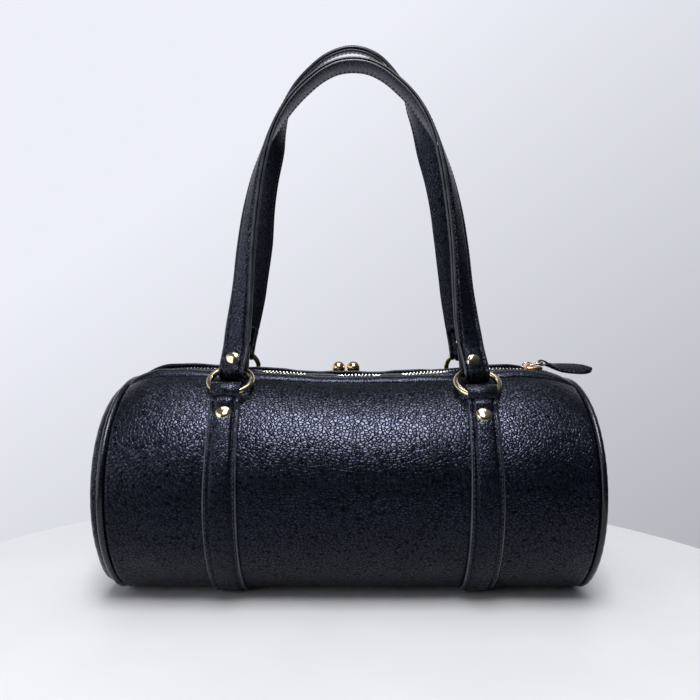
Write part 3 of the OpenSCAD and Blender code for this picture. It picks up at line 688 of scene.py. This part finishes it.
def zip_teeth(side, name):
    """A row of moulded teeth whose heads mesh with the other row's, half a pitch on."""
    low, high = node_box(name + "_zip_teeth")
    count = int((high[0] - low[0]) / TOOTH_PITCH)
    half, head = 0.36, 0.26
    middle = np.array([1.5, 0])
    outline = np.array([(-0.75, head), (-0.35, head + 0.14), (0.5, half), (3.7, half), (3.7, -half),
                        (0.5, -half), (-0.35, -head - 0.14), (-0.75, -head)])
    parts = []
    for k in range(count):
        x = low[0] + (k + (0.5 if side > 0 else 0)) * TOOTH_PITCH + 0.5
        low_here = float(lip_low(x))
        z = ZIP_Z + float(zip_lift(x)) + (0.5 * low_here - REAR_ROW_DROP if side > 0 else -0.6 * low_here)
        rows = []
        for height, inset in ((-0.95, 0.1), (-0.8, -0.12), (0.45, 0), (0.95, 0.32)):
            ring = middle + (outline - middle) * np.array([1 - inset / 2.2, 1 - inset / half])
            rows.append(np.stack([x + ring[:, 1], side * ring[:, 0], np.full(8, z + height)], axis=1))
        parts.append((np.concatenate(rows), capped(4, len(outline))))
    obj = make(name + "_teeth_row", "bag", join(*parts), zip_metal, replaces=(name + "_zip_teeth",))
    obj.data.polygons.foreach_set("use_smooth", [False] * len(obj.data.polygons))


def zip_stops():
    """A box across both tapes at the left end of the zip, and one on each tape at its right end."""
    low, high = node_box("zip_stops")
    length = 2.4
    parts = []
    for x, y0, y1 in ((low[0], -3.6, 3.6), (high[0] - length, -3.8, -0.8), (high[0] - length, 0.8, 3.8)):
        z = ZIP_Z + float(zip_lift(x + length / 2))
        parts.append(box_part((x, y0, z - 0.9), (x + length, y1, z + 1), 0.35))
    make("zip_end_stops", "bag", join(*parts), zip_metal, replaces=("zip_stops",),
         levels=1)


def slider():
    """Slider: two shield-shaped plates with turned-down sides and an arched bridge."""
    low, high = node_box("zip_slider")
    x0, x1 = low[0], high[0]
    mid = (x0 + x1) / 2
    z_top = ZIP_Z + 1.2 + float(zip_lift(mid))
    shares = np.linspace(0, 1, 9)
    half = 4.7 * (0.74 + 0.26 * np.sin(shares * math.pi) ** 0.6) - 0.9 * (1 - shares) ** 3
    xs = x0 + (x1 - x0) * (0.5 - 0.5 * np.cos(shares * math.pi))
    outline = np.array([(x, -h) for x, h in zip(xs, half)] + [(x, h) for x, h in zip(xs[::-1], half[::-1])])
    middle = np.array([mid, 0])

    def plate(levels):
        rows = []
        for z, inset in levels:
            ring = middle + (outline - middle) * (1 - inset / 5)
            rows.append(np.column_stack([ring, np.full(len(ring), z_top + z)]))
        return np.concatenate(rows), capped(len(levels), len(outline))

    top = plate([(-1.6, 0.02), (-0.2, 0), (0.5, 0.1), (1, 0.7), (1.15, 1.8)])
    bottom = plate([(-3.7, 0.6), (-3.5, 0.1), (-2.7, 0)])
    arch = []
    for t in np.linspace(0, 1, 13):
        a = math.pi * (1 - t)
        arch.append((BAIL[0] - 0.2 + 3.1 * math.cos(a), 0, z_top + 0.7 + 2.75 * math.sin(a) ** 0.75))
    bridge = sweep(arch, (0, 1, 0), [(1.35, -0.45), (1.35, 0.25), (0.9, 0.5), (-0.9, 0.5), (-1.35, 0.25),
                                     (-1.35, -0.45)])
    make("slider_body", "zip_slider", join(top, bottom, bridge), rose_gold, replaces=("zip_slider",),
         levels=1)


BAIL_WIRE_R = 0.65


def bail():
    """Wire loop between the slider's bridge and the leather pull."""
    forward = unit(TAB - BAIL)
    across = np.array([0, 1.0, 0])
    length = np.linalg.norm(TAB - BAIL)
    corner, half = 1.5, 3.4
    path = []
    for cx, cy, start in ((length - corner, half - corner, 0), (corner, half - corner, 90),
                          (corner, corner - half, 180), (length - corner, corner - half, 270)):
        for k in range(7):
            a = math.radians(start + 15 * k)
            path.append(BAIL + forward * (cx + corner * math.cos(a)) + across * (cy + corner * math.sin(a)))
    wire = sweep(path, np.cross(forward, across), circle(BAIL_WIRE_R, 12), True)
    make("bail_wire", "slider_bail", wire, rose_gold, replaces=("slider_bail",), levels=1)


# The leather pull at some distances from its bar: how wide it is each way, and how far it droops
PULL_PLACES = (-2.2, 0, 3, 6, 10, 15, 20, 24, 27, 29.5, 30.8)
PULL_HALF_W = (2.4, 2.4, 2.6, 3.3, 4.4, 5.3, 5.7, 5.4, 4.4, 2.4, 0.5)
PULL_DROP = (0, 0, -0.9, -1.9, -2.8, -3.3, -3.6, -3.8, -3.9, -4, -4)
PULL_START = 2.6
PULL_LOOP_R = 1.45
PULL_TURN = math.radians(24)


def pull():
    """Two layers of leather folded round the bail, cut as a leaf and sewn round its edge."""
    xs = np.linspace(PULL_START, PULL_PLACES[-1], 46)
    half = smooth_table(xs, PULL_PLACES, PULL_HALF_W)
    drop = smooth_table(xs, PULL_PLACES, PULL_DROP)
    turn = PULL_TURN * ease(xs / 12)
    shares = np.array([-1, -0.93, -0.7, -0.35, 0, 0.35, 0.7, 0.93, 1])
    crown = np.array([0, 0.28, 0.62, 0.8, 0.84, 0.8, 0.62, 0.28, 0])

    def surface(layer, crown_here):
        return layer * (0.15 + 1.3 * (0.42 + 0.58 * crown_here))

    def turned(x, u, v, d, a):
        """Points at u across the leaf and v out of it, where it hangs d low and is turned by a."""
        return np.column_stack([TAB[0] + x, TAB[1] + u * np.cos(a) - v * np.sin(a),
                                TAB[2] + d + u * np.sin(a) + v * np.cos(a)])

    parts, rows = [], []
    run = slice(4, 43)
    for layer in (1, -1):
        v = np.concatenate([surface(layer, crown), np.full(len(shares), layer * 0.08)])
        across = np.concatenate([shares, shares[::-1]])
        rings = [turned(np.full(len(v), x), across * h, v, d, a) for x, h, d, a in zip(xs, half, drop, turn)]
        faces = capped(len(rings), len(v))
        if layer < 0:
            faces[-2] = faces[-2][::-1]
        parts.append((np.concatenate(rings), faces))
        for side in (-1, 1):
            u = side * np.maximum(half[run] - 1.5, 0.2)
            v = surface(layer, np.interp(np.abs(u) / half[run], -shares[4::-1], crown[4::-1]))
            path = turned(xs[run], u, v, drop[run], turn[run])
            rows.append(stitch_row(path, (0, 0, layer), 1.9, 1.35, 0.11))
    angles = np.radians(62 + 236 * np.linspace(0, 1, 21))
    loop = [(5.5, -1), (3.4, -0.2), (2, 0.8),
            *zip(PULL_LOOP_R * np.cos(angles), PULL_LOOP_R * np.sin(angles)), (2, -1.25), (3.4, -1.5), (5.5, -2.3)]
    loop = sweep([(TAB[0] + x, TAB[1], TAB[2] + z) for x, z in loop], (0, 1, 0),
                 [(2.4, -0.5), (2.4, 0.3), (2, 0.55), (-2, 0.55), (-2.4, 0.3), (-2.4, -0.5)])
    make("pull_loop", "pull_tab", loop, strap_leather, levels=1)
    leaf = make("leather_pull", "pull_tab", join(*parts), strap_leather, replaces=("pull_tab",),
                levels=1)
    stitches = sewn("pull_stitches", "pull_tab", rows)
    # The leaf and its stitches each get a mesh of their own
    for obj in (leaf, stitches):
        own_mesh(obj)


# ---------------- straps
def strap_outline(width, thick, margin, raised):
    """Outline of a strap: a thin sewn margin at each edge and a fuller middle."""
    w, t = width / 2, thick / 2
    right = [(w - 0.25, -t), (w, 0.25 - t), (w, t - 0.65), (w - 0.3, t - 0.25), (w - 0.75, t - 0.02),
             (w - margin + 0.5, t - 0.05), (w - margin, t - 0.6), (w - margin - 0.3, t - 0.55),
             (w - margin - 0.8, t + raised * 0.75), (w - margin - 2, t + raised)]
    return right + [(0, t + raised * 1.12)] + [(-x, y) for x, y in reversed(right)]


def edge_slots(part, outline, edge_columns):
    """Material numbers for a swept strap: 1 on the painted edges, 0 elsewhere and on its two ends."""
    cols, count = len(outline), len(part[1])
    return [int(index < count - 2 and index % cols in edge_columns) for index in range(count)]


# Columns of a strap's faces that are painted
EDGE_COLUMNS = (0, 1, 2, 3, 16, 17, 18, 19)


LOOP_R = 4.45
TAIL_R = 66.1
RIVET_SEAT_R = 69.15
# The band from its front loop down over the rivet, as (angle from the top, radius)
BAND_FRONT = ((0.775, 71.6), (0.8, 69.4), (0.826, 68.4), (RIVET_A, 68.1), (0.89, 68.05), (0.935, 67.7),
              (0.985, 67.1), (1.04, 66.6))
# The share of a rear ring's shift that its band follows
BAND_SHARE = 0.8


def band_line():
    """Middle line of a band, as (y, z): up from the front tail, round the front loop, down over the
    rivet and under the bag, and its mirror at the back."""
    axis = np.array([0, AXIS_Z])
    loop = FRONT_LOOP[1:]

    def on_tube(angle, r):
        return axis + r * np.array([-math.sin(angle), math.cos(angle)])

    half = [on_tube(RIVET_A + 6.4 / BAG_R - k * 0.03, TAIL_R) for k in range(6)]
    down = unit(loop - axis)
    start = math.atan2(down[1], down[0])
    for k in range(19):
        a = start + math.radians(172 - 292 * k / 18)
        half.append(loop + LOOP_R * np.array([math.cos(a), math.sin(a)]))
    half += [on_tube(a, r) for a, r in BAND_FRONT]
    for a in np.linspace(1.1, math.pi, 110):
        point = on_tube(a, float(section_r(np.array(a))) + 0.95)
        point[1] = max(point[1], 0.85)
        half.append(point)
    half = np.array(half)
    line = np.concatenate([half, half[-2::-1] * (-1, 1)])
    steps = travelled(line)
    even = np.linspace(0, steps[-1], 620)
    line = np.column_stack([np.interp(even, steps, line[:, c]) for c in (0, 1)])
    for _ in range(3):
        line[1:-1] = (line[:-2] + 2 * line[1:-1] + line[2:]) / 4
    return line


def band(side, name):
    """A strap round the bag, folded back through each ring and riveted."""
    line = band_line()
    spread = REAR_SPREAD[side] * BAND_SHARE * ease(line[:, 0] / 50) * ease((line[:, 1] - 40) / 60)
    path = np.column_stack([side * (BAND_X + spread) + BAND_SHIFT, line])
    path += FRONT_DIP[side] * (ease((line[:, 1:] - 88) / 22) * (line[:, :1] < 0))
    outline = strap_outline(BAND_W, BAND_THICK, 2.6, 0.7)
    broad = 1 + 0.11 * ease((110 - path[:, 2]) / 60)
    strap = sweep(path, -ACROSS, outline, broad=broad)
    make(name + "_band_strap", "bag", strap, [strap_leather, edge_paint],
         edge_slots(strap, outline, EDGE_COLUMNS), replaces=(name + "_band",))
    outwards = np.cross(-ACROSS, tangents(path))
    run = slice(58, len(path) - 58)
    inset = BAND_W / 2 * broad[run, None] - BAND_INSET
    rows = [stitch_row(path[run] + outwards[run] * 0.75 + edge * inset * ACROSS, outwards[run], 2.7, 2, 0.2)
            for edge in (-1, 1)]
    sewn(name + "_band_stitches", "bag", rows)


BAND_CAP_R = 4.25
HANDLE_CAP_R = 4.2
# Domed cap with a thin pressed rim, as (share of its radius, height)
RIVET_PROFILE = ((0.9, -1.2), (1, -0.5), (1.04, -0.1), (1.05, 0.12), (1.01, 0.3), (0.96, 0.34), (0.93, 0.42),
                 (0.87, 0.7), (0.76, 1), (0.6, 1.23), (0.4, 1.4), (0.2, 1.48), (0.04, 1.5))


def rivet_part(radius):
    return lathe([(radius * share, height) for share, height in RIVET_PROFILE], 44)


def band_rivets():
    parts = []
    for sx, sy in ((-1, -1), (-1, 1), (1, -1), (1, 1)):
        angle = RIVET_A + (0.021 if (sx, sy) == (1, -1) else 0)
        out = np.array([0, sy * math.sin(angle), math.cos(angle)])
        down = (0, sy * math.cos(angle), -math.sin(angle))
        spread = REAR_SPREAD[sx] * BAND_SHARE if sy > 0 else 0
        place = np.array([sx * (BAND_X + spread) + BAND_SHIFT, 0, AXIS_Z]) + out * RIVET_SEAT_R
        parts.append(placed(rivet_part(BAND_CAP_R), place, (sy, 0, 0), down, out))
    make("band_rivet_caps", "bag", join(*parts), pale_gold, replaces=("band_rivets",),
         levels=1)


def ring(node):
    """A round ring, laid where its CAD node lies."""
    co = np.array([v.co for v in frame["nodes"][node].data.vertices]) / MM
    middle = (co.min(0) + co.max(0)) / 2
    normal = np.linalg.svd(co - middle, full_matrices=False)[2][2]
    side = 1 if middle[0] > 0 else -1
    if middle[1] > 0:
        middle[0] += RING_SHIFT[side] + side * REAR_SPREAD[side]
    else:
        middle += FRONT_DIP[side] + RING_SHIFT[side] * ACROSS
    angles = np.linspace(0, TAU, 96, endpoint=False)[:, None]
    path = middle + RING_MID_R * (np.cos(angles) * ACROSS + np.sin(angles) * np.cross(normal, ACROSS))
    wire = sweep(path, normal, circle(RING_WIRE_R, 20), True)
    make(node + "_wire", node, wire, pale_gold, replaces=(node,))


# ---------------- handles
LEAN = math.radians(6.5)
FOOT_TURN = math.radians(11)
FOOT_LEAN = 0.15
# Each handle's middle line, as (half width, height) from where it leaves its foot up to its top,
# its twist in degrees over the height, and how far it leans along the bag with the height
HANDLES = {
    "front": {"face": -1, "foot": FRONT_FOOT,
              "line": ((66.4, 17.4), (65, 27), (62.9, 48), (61.4, 70), (58.4, 95), (53, 121), (47, 138),
                       (41.4, 148.5), (34.4, 158.5), (26.5, 166.8), (17.6, 174), (9, 178.1), (0, 179.3)),
              "twist": ((0, 11), (16, 12), (26, 19), (46, 35), (70, 44), (95, 52), (109, 59), (122, 67),
                        (139, 82), (150, 90), (181, 90)),
              "aside": ((0, 0.6), (120, 0.4), (180, 0.9))},
    "rear": {"face": 1, "foot": REAR_FOOT,
             "line": ((66.4, 17.4), (65.4, 27), (63, 45), (59.4, 69), (56, 97), (52.6, 114), (48.2, 129),
                      (44, 142), (39.6, 152.5), (33.6, 165.5), (25, 176.2), (14.5, 184.6), (0, 188.6)),
             "twist": ((0, 11), (16, 11), (60, 8), (100, 8), (115, 16), (129, 38), (140, 62), (153, 84),
                       (165, 97), (188, 100)),
             "aside": ((0, 0.4), (70, 1.2), (130, -1), (152, -2.4), (168, -1.8), (188, 0.3))}}


def strap_line(handle):
    """Path and across direction of a strap from the left foot to the right one, in the handle's
    own axes: x along the bag, y towards its back, z up from the line through the feet."""
    half = np.array(handle["line"], float)
    whole = np.concatenate([half * (-1, 1), half[-2::-1]])
    steps = travelled(whole)
    even = np.linspace(0, steps[-1], 170)
    path = np.column_stack([smooth_table(even, steps, whole[:, 0]), np.zeros(len(even)),
                            smooth_table(even, steps, whole[:, 1])])
    along = tangents(path)
    heights, turns = zip(*handle["twist"])
    turn = np.radians(smooth_table(path[:, 2], heights, turns))
    across = np.column_stack([along[:, 2] * np.cos(turn), -np.sin(turn), -along[:, 0] * np.cos(turn)])
    return path, unit(across)


def to_row(points, handle):
    """From a handle's own axes to the bag's."""
    face, foot = handle["face"], handle["foot"]
    points = np.asarray(points, float)
    y = -points[:, 1] * math.cos(LEAN) - points[:, 2] * math.sin(LEAN)
    z = -points[:, 1] * math.sin(LEAN) + points[:, 2] * math.cos(LEAN)
    heights, shifts = zip(*handle["aside"])
    x = points[:, 0] + np.interp(points[:, 2], heights, shifts)
    left = points[:, 0] < 0
    # The rear feet stand wider apart with their rings, and the front ones where the photograph has them
    if face > 0:
        x = x + np.where(left, -REAR_SPREAD[-1], REAR_SPREAD[1]) * 0.5 * ease(1 - points[:, 2] / 40)
    else:
        x = x + np.where(left, 1.4, 0) * ease(1 - points[:, 2] / 30)
        near = np.where(left, 0, 1) * ease(1 - points[:, 2] / 45)
        y, z = y - FRONT_DIP[1][1] * near, z + FRONT_DIP[1][2] * near
    return np.column_stack([x, face * (abs(foot[1]) + y), foot[2] + z])


def on_handle(part, handle):
    """Puts points and faces from a handle's own axes into the bag's."""
    points, faces = part
    return to_row(points, handle), faces if handle["face"] < 0 else [face[::-1] for face in faces]


FOOT_R = 3.9


def foot_line():
    """The strap's end round its ring, as (towards the outer face, height), from the tail up the
    inner side, down, round and up the outer side to where the strap begins."""
    tail = [(-1.75, 15.2), (-1.9, 13), (-2.15, 10.5), (-2.3, 8.4), (-2.7, 6.4), (-3.3, 4.6)]
    turned = [(-FOOT_R * math.cos(a), -FOOT_R * math.sin(a)) for a in map(math.radians, range(-32, 213, 12))]
    front = [(3.3, 4.6), (2.75, 6.2), (2.3, 8.2), (1.75, 10.6), (1.2, 13), (0.85, 15.4)]
    return tail + turned + front


BACKING_OUTLINE = ((7.2, -0.6), (7.45, -0.35), (7.45, 0.45), (7.2, 0.68), (-7.2, 0.68), (-7.45, 0.45),
                   (-7.45, -0.35), (-7.2, -0.6), (0, -0.85))
BACK_CAP = ((2.6, -1), (3, -0.3), (3, 0.2), (2.6, 0.55), (1.4, 0.75), (0.1, 0.8))
# Columns of its faces that are painted
BACKING_EDGES = (0, 1, 2, 4, 5, 6)
RIVET_HEIGHT = 7.2
# The front handle's two rivets aren't set quite alike
RIVET_SHIFT = {-1: (-0.2, -1.5), 1: (-0.6, -1.5)}


def handle_strap(name):
    """A handle's strap from ring to ring, with its backing, stitches and rivets."""
    handle, body = HANDLES[name], name + "_handle"
    path, across = strap_line(handle)
    outer = np.cross(across, tangents(path))
    line = foot_line()
    turn_x, turn_y = math.sin(FOOT_TURN), math.cos(FOOT_TURN)
    foot_left = [(FOOT_LEAN * h - BAND_X - n * turn_x, -n * turn_y, h) for n, h in line]
    foot_right = [(BAND_X - FOOT_LEAN * h + n * turn_x, -n * turn_y, h) for n, h in reversed(line)]
    widths = np.concatenate([np.tile((turn_y, -turn_x, 0), (len(line), 1)), across,
                             np.tile((-turn_y, -turn_x, 0), (len(line), 1))])
    outline = strap_outline(STRAP_W, STRAP_THICK, 2.5, 0.5)
    strap = sweep(np.concatenate([foot_left, path + outer * 0.85, foot_right]), widths, outline)
    make(body + "_strap", body, on_handle(strap, handle), [strap_leather, edge_paint],
         edge_slots(strap, outline, EDGE_COLUMNS), replaces=(body,), levels=1)
    backing = sweep(path - outer * 1.05, across, BACKING_OUTLINE)
    make(body + "_lining", body, on_handle(backing, handle), [back_leather, edge_paint],
         edge_slots(backing, BACKING_OUTLINE, BACKING_EDGES), replaces=(body + "_backing",))
    rows = []
    for edge in (-1, 1):
        for sign, lift in ((1, 1.62), (-1, -1.7)):
            seam = to_row(path + outer * lift + across * edge * (STRAP_W / 2 - STRAP_INSET), handle)
            facing_out = to_row(path + outer * sign * 10, handle) - to_row(path, handle)
            rows.append(stitch_row(seam, facing_out, 2.6, 1.9, 0.19))
    sewn(body + "_stitches", body, rows)
    parts = []
    for sx in (-1, 1):
        out = np.array([sx * turn_x, -turn_y, 0])
        flat = np.array([turn_y, sx * turn_x, 0])
        shift_x, shift_z = RIVET_SHIFT[sx] if name == "front" else (0, 0)
        middle = np.array([sx * (BAND_X - FOOT_LEAN * RIVET_HEIGHT) + shift_x, 0, RIVET_HEIGHT + shift_z])
        parts.append(placed(rivet_part(HANDLE_CAP_R), middle + out * 3.35, flat, (0, 0, 1), out))
        parts.append(placed(lathe(BACK_CAP, 32), middle - out * 3.2, -flat, (0, 0, 1), -out))
    make(body + "_rivet_caps", body, on_handle(join(*parts), handle), pale_gold, replaces=(body + "_rivets",),
         levels=1)


# ---------------- clasp pocket
CLASP_A = math.radians(50)
OUT = np.array([0, math.sin(CLASP_A), math.cos(CLASP_A)])
DOWN = np.array([0, math.cos(CLASP_A), -math.sin(CLASP_A)])
# The photographed clasp lies a little to the left of the middle
CLASP_SHIFT = -3.8
HINGE_DOWN = float(np.dot(CLASP - np.array([0, 0, AXIS_Z]), DOWN))
HINGE_OUT = float(np.dot(CLASP - np.array([0, 0, AXIS_Z]), OUT))
FRAME_TOP = HINGE_DOWN - 39
BALL_R = 4.4
BALL_X = 4.85
BALL_RISE = 5.6
PIN_X = 46.4


def on_clasp(part):
    """Puts points and faces from the clasp's own axes (across, down the back, out) into the bag's."""
    points, faces = part
    axes = points[:, :1] * ACROSS + points[:, 1:2] * DOWN + points[:, 2:] * OUT
    return np.array([CLASP_SHIFT, 0, AXIS_Z]) + axes, faces


def jaw(name, node, body, arm_x, level):
    """U-shaped strip of plated metal with rounded corners and an eye at each end."""
    corner, top = 6, FRAME_TOP + 2
    turns = np.radians(np.arange(1, 9) * 90 / 8)
    path = [(-arm_x, HINGE_DOWN - k * (HINGE_DOWN - top - corner) / 13) for k in range(14)]
    path += [(corner * (1 - math.cos(a)) - arm_x, top + corner * (1 - math.sin(a))) for a in turns]
    path += [(corner - arm_x + 2 * (arm_x - corner) * k / 23, top) for k in range(1, 24)]
    path = np.array([(x, y, level) for x, y in path + [(-x, y) for x, y in path[20::-1]]])
    outline = np.array([(0.9, -1.2), (1.05, -0.9), (1.05, 0.7), (0.75, 1.15), (0.25, 1.4), (-0.25, 1.4),
                        (-0.75, 1.15), (-1.05, 0.7), (-1.05, -0.9), (-0.9, -1.2)])
    rise = np.array([0, 0, 1.0])
    across = np.cross(tangents(path), rise)
    wide = np.where(np.abs(path[:, 0]) / arm_x > 0.97, 0.85, 1.75)
    wide = np.convolve(np.pad(wide, 3, mode="edge"), np.ones(7) / 7, mode="valid")
    points = (path[:, None] + across[:, None] * outline[None, :, :1] * wide[:, None, None]
              + rise * outline[None, :, 1:2])
    parts = [(points, capped(len(path), len(outline), True))]
    for side in (-1, 1):
        eye = lathe([(1.4, -0.9), (2.7, -0.9), (3, -0.6), (3, 0.6), (2.7, 0.9), (1.4, 0.9)], 28)
        parts.append(placed(eye, (side * arm_x, HINGE_DOWN, HINGE_OUT), (0, 1, 0), rise, ACROSS))
    make(name, body, on_clasp(join(*parts)), pale_gold, replaces=(node,), levels=1)


def clasp_ball(side, name, node, body):
    """A ball that stands over the frame on a short neck."""
    profile = [(1.7, 7), (1.9, 6.4), (1.9, 5.8), (1.4, 5.2), (1.3, 4.6)]
    for k in range(1, 15):
        a = math.radians(72 - 162 * k / 14)
        profile.append((BALL_R * math.cos(a), BALL_R * math.sin(a)))
    profile[-1] = (0.05, -BALL_R)
    ball = placed(lathe(profile, 36), (side * BALL_X, FRAME_TOP - BALL_RISE, HINGE_OUT), ACROSS, (0, 0, -1),
                  (0, 1, 0))
    make(name, body, on_clasp(ball), ball_gold, replaces=(node,), levels=1)


def clasp_pins():
    pin = lathe([(1.15, 0), (1.15, 4.1), (2, 4.15), (2.1, 4.4), (1.8, 4.8), (1, 5), (0.1, 5.05)], 26)
    pins = [placed(pin, (side * PIN_X, HINGE_DOWN, HINGE_OUT), (0, 1, 0), (0, 0, side), (side, 0, 0))
            for side in (-1, 1)]
    make("clasp_hinge_pins", "bag", on_clasp(join(*pins)), pale_gold, replaces=("clasp_pins",),
         levels=1)


def pouch():
    """Soft pouch gathered under the clasp frame, full below it and flat where it meets the bag."""
    half_w = 46
    start, end = CLASP_A - 14.4 / 69, math.radians(104.5)
    us = np.linspace(-1, 1, 121)
    vs = np.linspace(0, 1, 60)
    u, v = np.meshgrid(us, vs)
    width = half_w * (0.985 + 0.03 * np.sin(v * math.pi))
    corner = np.clip((v - 0.72) / 0.28, 0, 1)
    width = width * (1 - 0.1 * corner ** 2.2)
    full = 3.2 + 5.2 * np.sin(np.clip(v * 1.02, 0, 1) * math.pi) ** 0.55
    edge_u = np.sqrt(np.clip(1 - np.abs(u) ** 5, 0, 1))
    edge_v = np.sqrt(np.clip(1 - np.clip((v - 0.8) / 0.2, 0, 1) ** 2, 0, 1))
    pleats = 0.55 * np.sin(u * 40 + 1.5 * np.sin(u * 7)) * np.exp(-v / 0.22) + 0.3 * np.sin(u * 9 + 3 * v)
    r = BAG_R + 0.35 + (full + pleats) * edge_u * edge_v
    phi = start + (end - start) * v
    points = np.stack([CLASP_SHIFT + u * width, r * np.sin(phi), AXIS_Z + r * np.cos(phi)], axis=-1)
    make("pocket_pouch", "bag", (points, grid_faces(*u.shape)), body_leather, replaces=("back_pouch",),
         levels=1)
    rows = []
    run = np.linspace(0.04, 0.985, 60)
    for side in (-1, 1):
        phi = start + (end - start) * run
        x = CLASP_SHIFT + side * (np.interp(run, vs, width[:, -1]) + 0.9)
        path = np.column_stack([x, (BAG_R + 0.5) * np.sin(phi), AXIS_Z + (BAG_R + 0.5) * np.cos(phi)])
        outwards = np.column_stack([np.zeros(60), np.sin(phi), np.cos(phi)])
        rows.append(stitch_row(path, outwards, *SEAM))
    sewn("pocket_stitches", "bag", rows)


# ---------------- camera, light and table
CAMERA = np.array([0, -403, 153.4])
FOCAL_PX = 666
PICTURE_PX = 700
SENSOR = 36
PITCH = 0.04
YAW = 0.0027
TABLE_R = 285
TABLE_AT = (-9, -95)
WALL = (0.79, 0.8, 0.87)


def camera():
    data = bpy.data.cameras.new("camera")
    data.sensor_width = SENSOR
    data.lens = SENSOR * FOCAL_PX / PICTURE_PX
    data.clip_start = 0.01
    obj = bpy.data.objects.new("camera", data)
    obj.location = CAMERA * MM
    obj.rotation_euler = (math.pi / 2 - PITCH, 0, YAW)
    scene.collection.objects.link(obj)
    scene.camera = obj


# Each lamp's name, place, size, power and colour, and the height over the table that it is aimed at
LAMPS = (("key", (0, -480, 1105), (300, 480), 9.3, (1, 1, 1), 60),
         ("key_front", (0, -724, 954), (420, 170), 3.2, (1, 1, 1), 60),
         ("front", (0, -906, 768), (500, 250), 0.4, (1, 1, 1), 60),
         ("ceiling", (0, 0, 1300), (900, 600), 3.2, (0.97, 0.98, 1), 60),
         ("side", (-560, -420, 200), (600, 520), 1.5, (1, 1, 1), 100))


def area_light(name, place, size, power, colour, height):
    data = bpy.data.lights.new(name, "AREA")
    data.shape = "RECTANGLE"
    data.size, data.size_y = size[0] * MM, size[1] * MM
    data.energy = power
    data.color = colour
    obj = bpy.data.objects.new(name, data)
    obj.location = np.array(place) * MM
    aim = unit(np.array([0, 0, float(height)]) - np.array(place, float))
    obj.rotation_euler = Vector(aim.tolist()).to_track_quat("-Z", "Y").to_euler()
    obj.visible_camera = False
    scene.collection.objects.link(obj)


def world():
    """A pale wall behind, a bright ceiling, and a dim room on the photographer's side."""
    light = bpy.data.worlds.new("studio")
    light.use_nodes = True
    tree = light.node_tree
    direction = add(tree, "TexCoord").outputs["Generated"]

    def slope(weights, low, high, dim, full):
        share = vector(tree, "DOT_PRODUCT", direction, weights, output="Value")
        return mapped(tree, share, low, high, dim, full)

    # Reflections and light see the wall too, in full behind the bag and low down, and a
    # dimmer ceiling over a dark room on the photographer's side
    behind = calc(tree, "MULTIPLY", slope((-0.5, 1, 0), 0, 0.45, 0, 1), slope((0, 0, 1), 0.3, 0.65, 1, 0.15))
    above = slope((-0.15, 0, 1), 0.1, 0.8, 0.03, 0.15)
    room = scaled(tree, WALL, calc(tree, "MAXIMUM", behind, above))
    # The wall seen by the camera is painted lighter towards the upper left and darker towards the lower right:
    # painted shade on the backdrop.
    wall = scaled(tree, WALL, slope((-0.4, 0, 0.55), -0.34, 0.2, 0.58, 1.08))
    rays = add(tree, "LightPath").outputs
    seen = calc(tree, "MAXIMUM", rays["Is Camera Ray"], rays["Is Transmission Ray"])
    colour = add(tree, "Mix", {"Factor": seen, 4: room, 5: wall}, data_type="VECTOR")
    feed(tree, tree.nodes["Background"], {"Color": colour.outputs[1], "Strength": 1})
    scene.world = light


def table():
    """The round white table that the bag lies on."""
    material, tree, shader = node_tree("white_table")
    white = [(0.3, (0.72, 0.725, 0.76)), (0.7, (0.76, 0.765, 0.795))]
    feed(tree, shader, {"Base Color": ramp(tree, noise(tree, object_place(tree), 14.0, 5.0), white),
                        "Roughness": 0.5})
    points, faces = lathe([(0.1, 0), (120, 0), (220, 0), (TABLE_R - 2, 0), (TABLE_R, -1.5), (TABLE_R, -17),
                           (TABLE_R - 3, -19), (0.1, -19)], 160)
    mesh = bpy.data.meshes.new("table")
    mesh.from_pydata(((points + (*TABLE_AT, -0.02)) * MM).tolist(), [], [face[::-1] for face in faces])
    mesh.materials.append(material)
    obj = bpy.data.objects.new("table", mesh)
    scene.collection.objects.link(obj)


# ---------------- the whole
scene.view_settings.view_transform = "Standard"
camera()
world()
table()
for lamp in LAMPS:
    area_light(*lamp)

body_shell()
inner_lining()
end_panel(-1, "left", swell=1, low_bulge=2.6)
end_panel(1, "right", swell=0.47, low_bulge=0)
piping(-1, "left")
piping(1, "right")
for side, name in ((-1, "front"), (1, "rear")):
    facing(side, name)
    zip_tape(side, name)
    zip_teeth(side, name)
zip_stops()
slider()
bail()
pull()
band(-1, "left")
band(1, "right")
band_rivets()
for node in ("front_left_ring", "front_right_ring", "rear_left_ring", "rear_right_ring"):
    ring(node)
handle_strap("front")
handle_strap("rear")
jaw("frame_fixed_jaw", "clasp_fixed_jaw", "bag", arm_x=47.4, level=HINGE_OUT - 1.6)
jaw("frame_moving_jaw", "clasp_moving_jaw", "clasp_jaw", arm_x=49.5, level=HINGE_OUT + 1.6)
clasp_ball(-1, "left_ball", "clasp_fixed_ball", "bag")
clasp_ball(1, "right_ball", "clasp_moving_ball", "clasp_jaw")
clasp_pins()
pouch()
board = frame["nodes"]["base_board"].data
board.materials.clear()
board.materials.append(board_cloth)
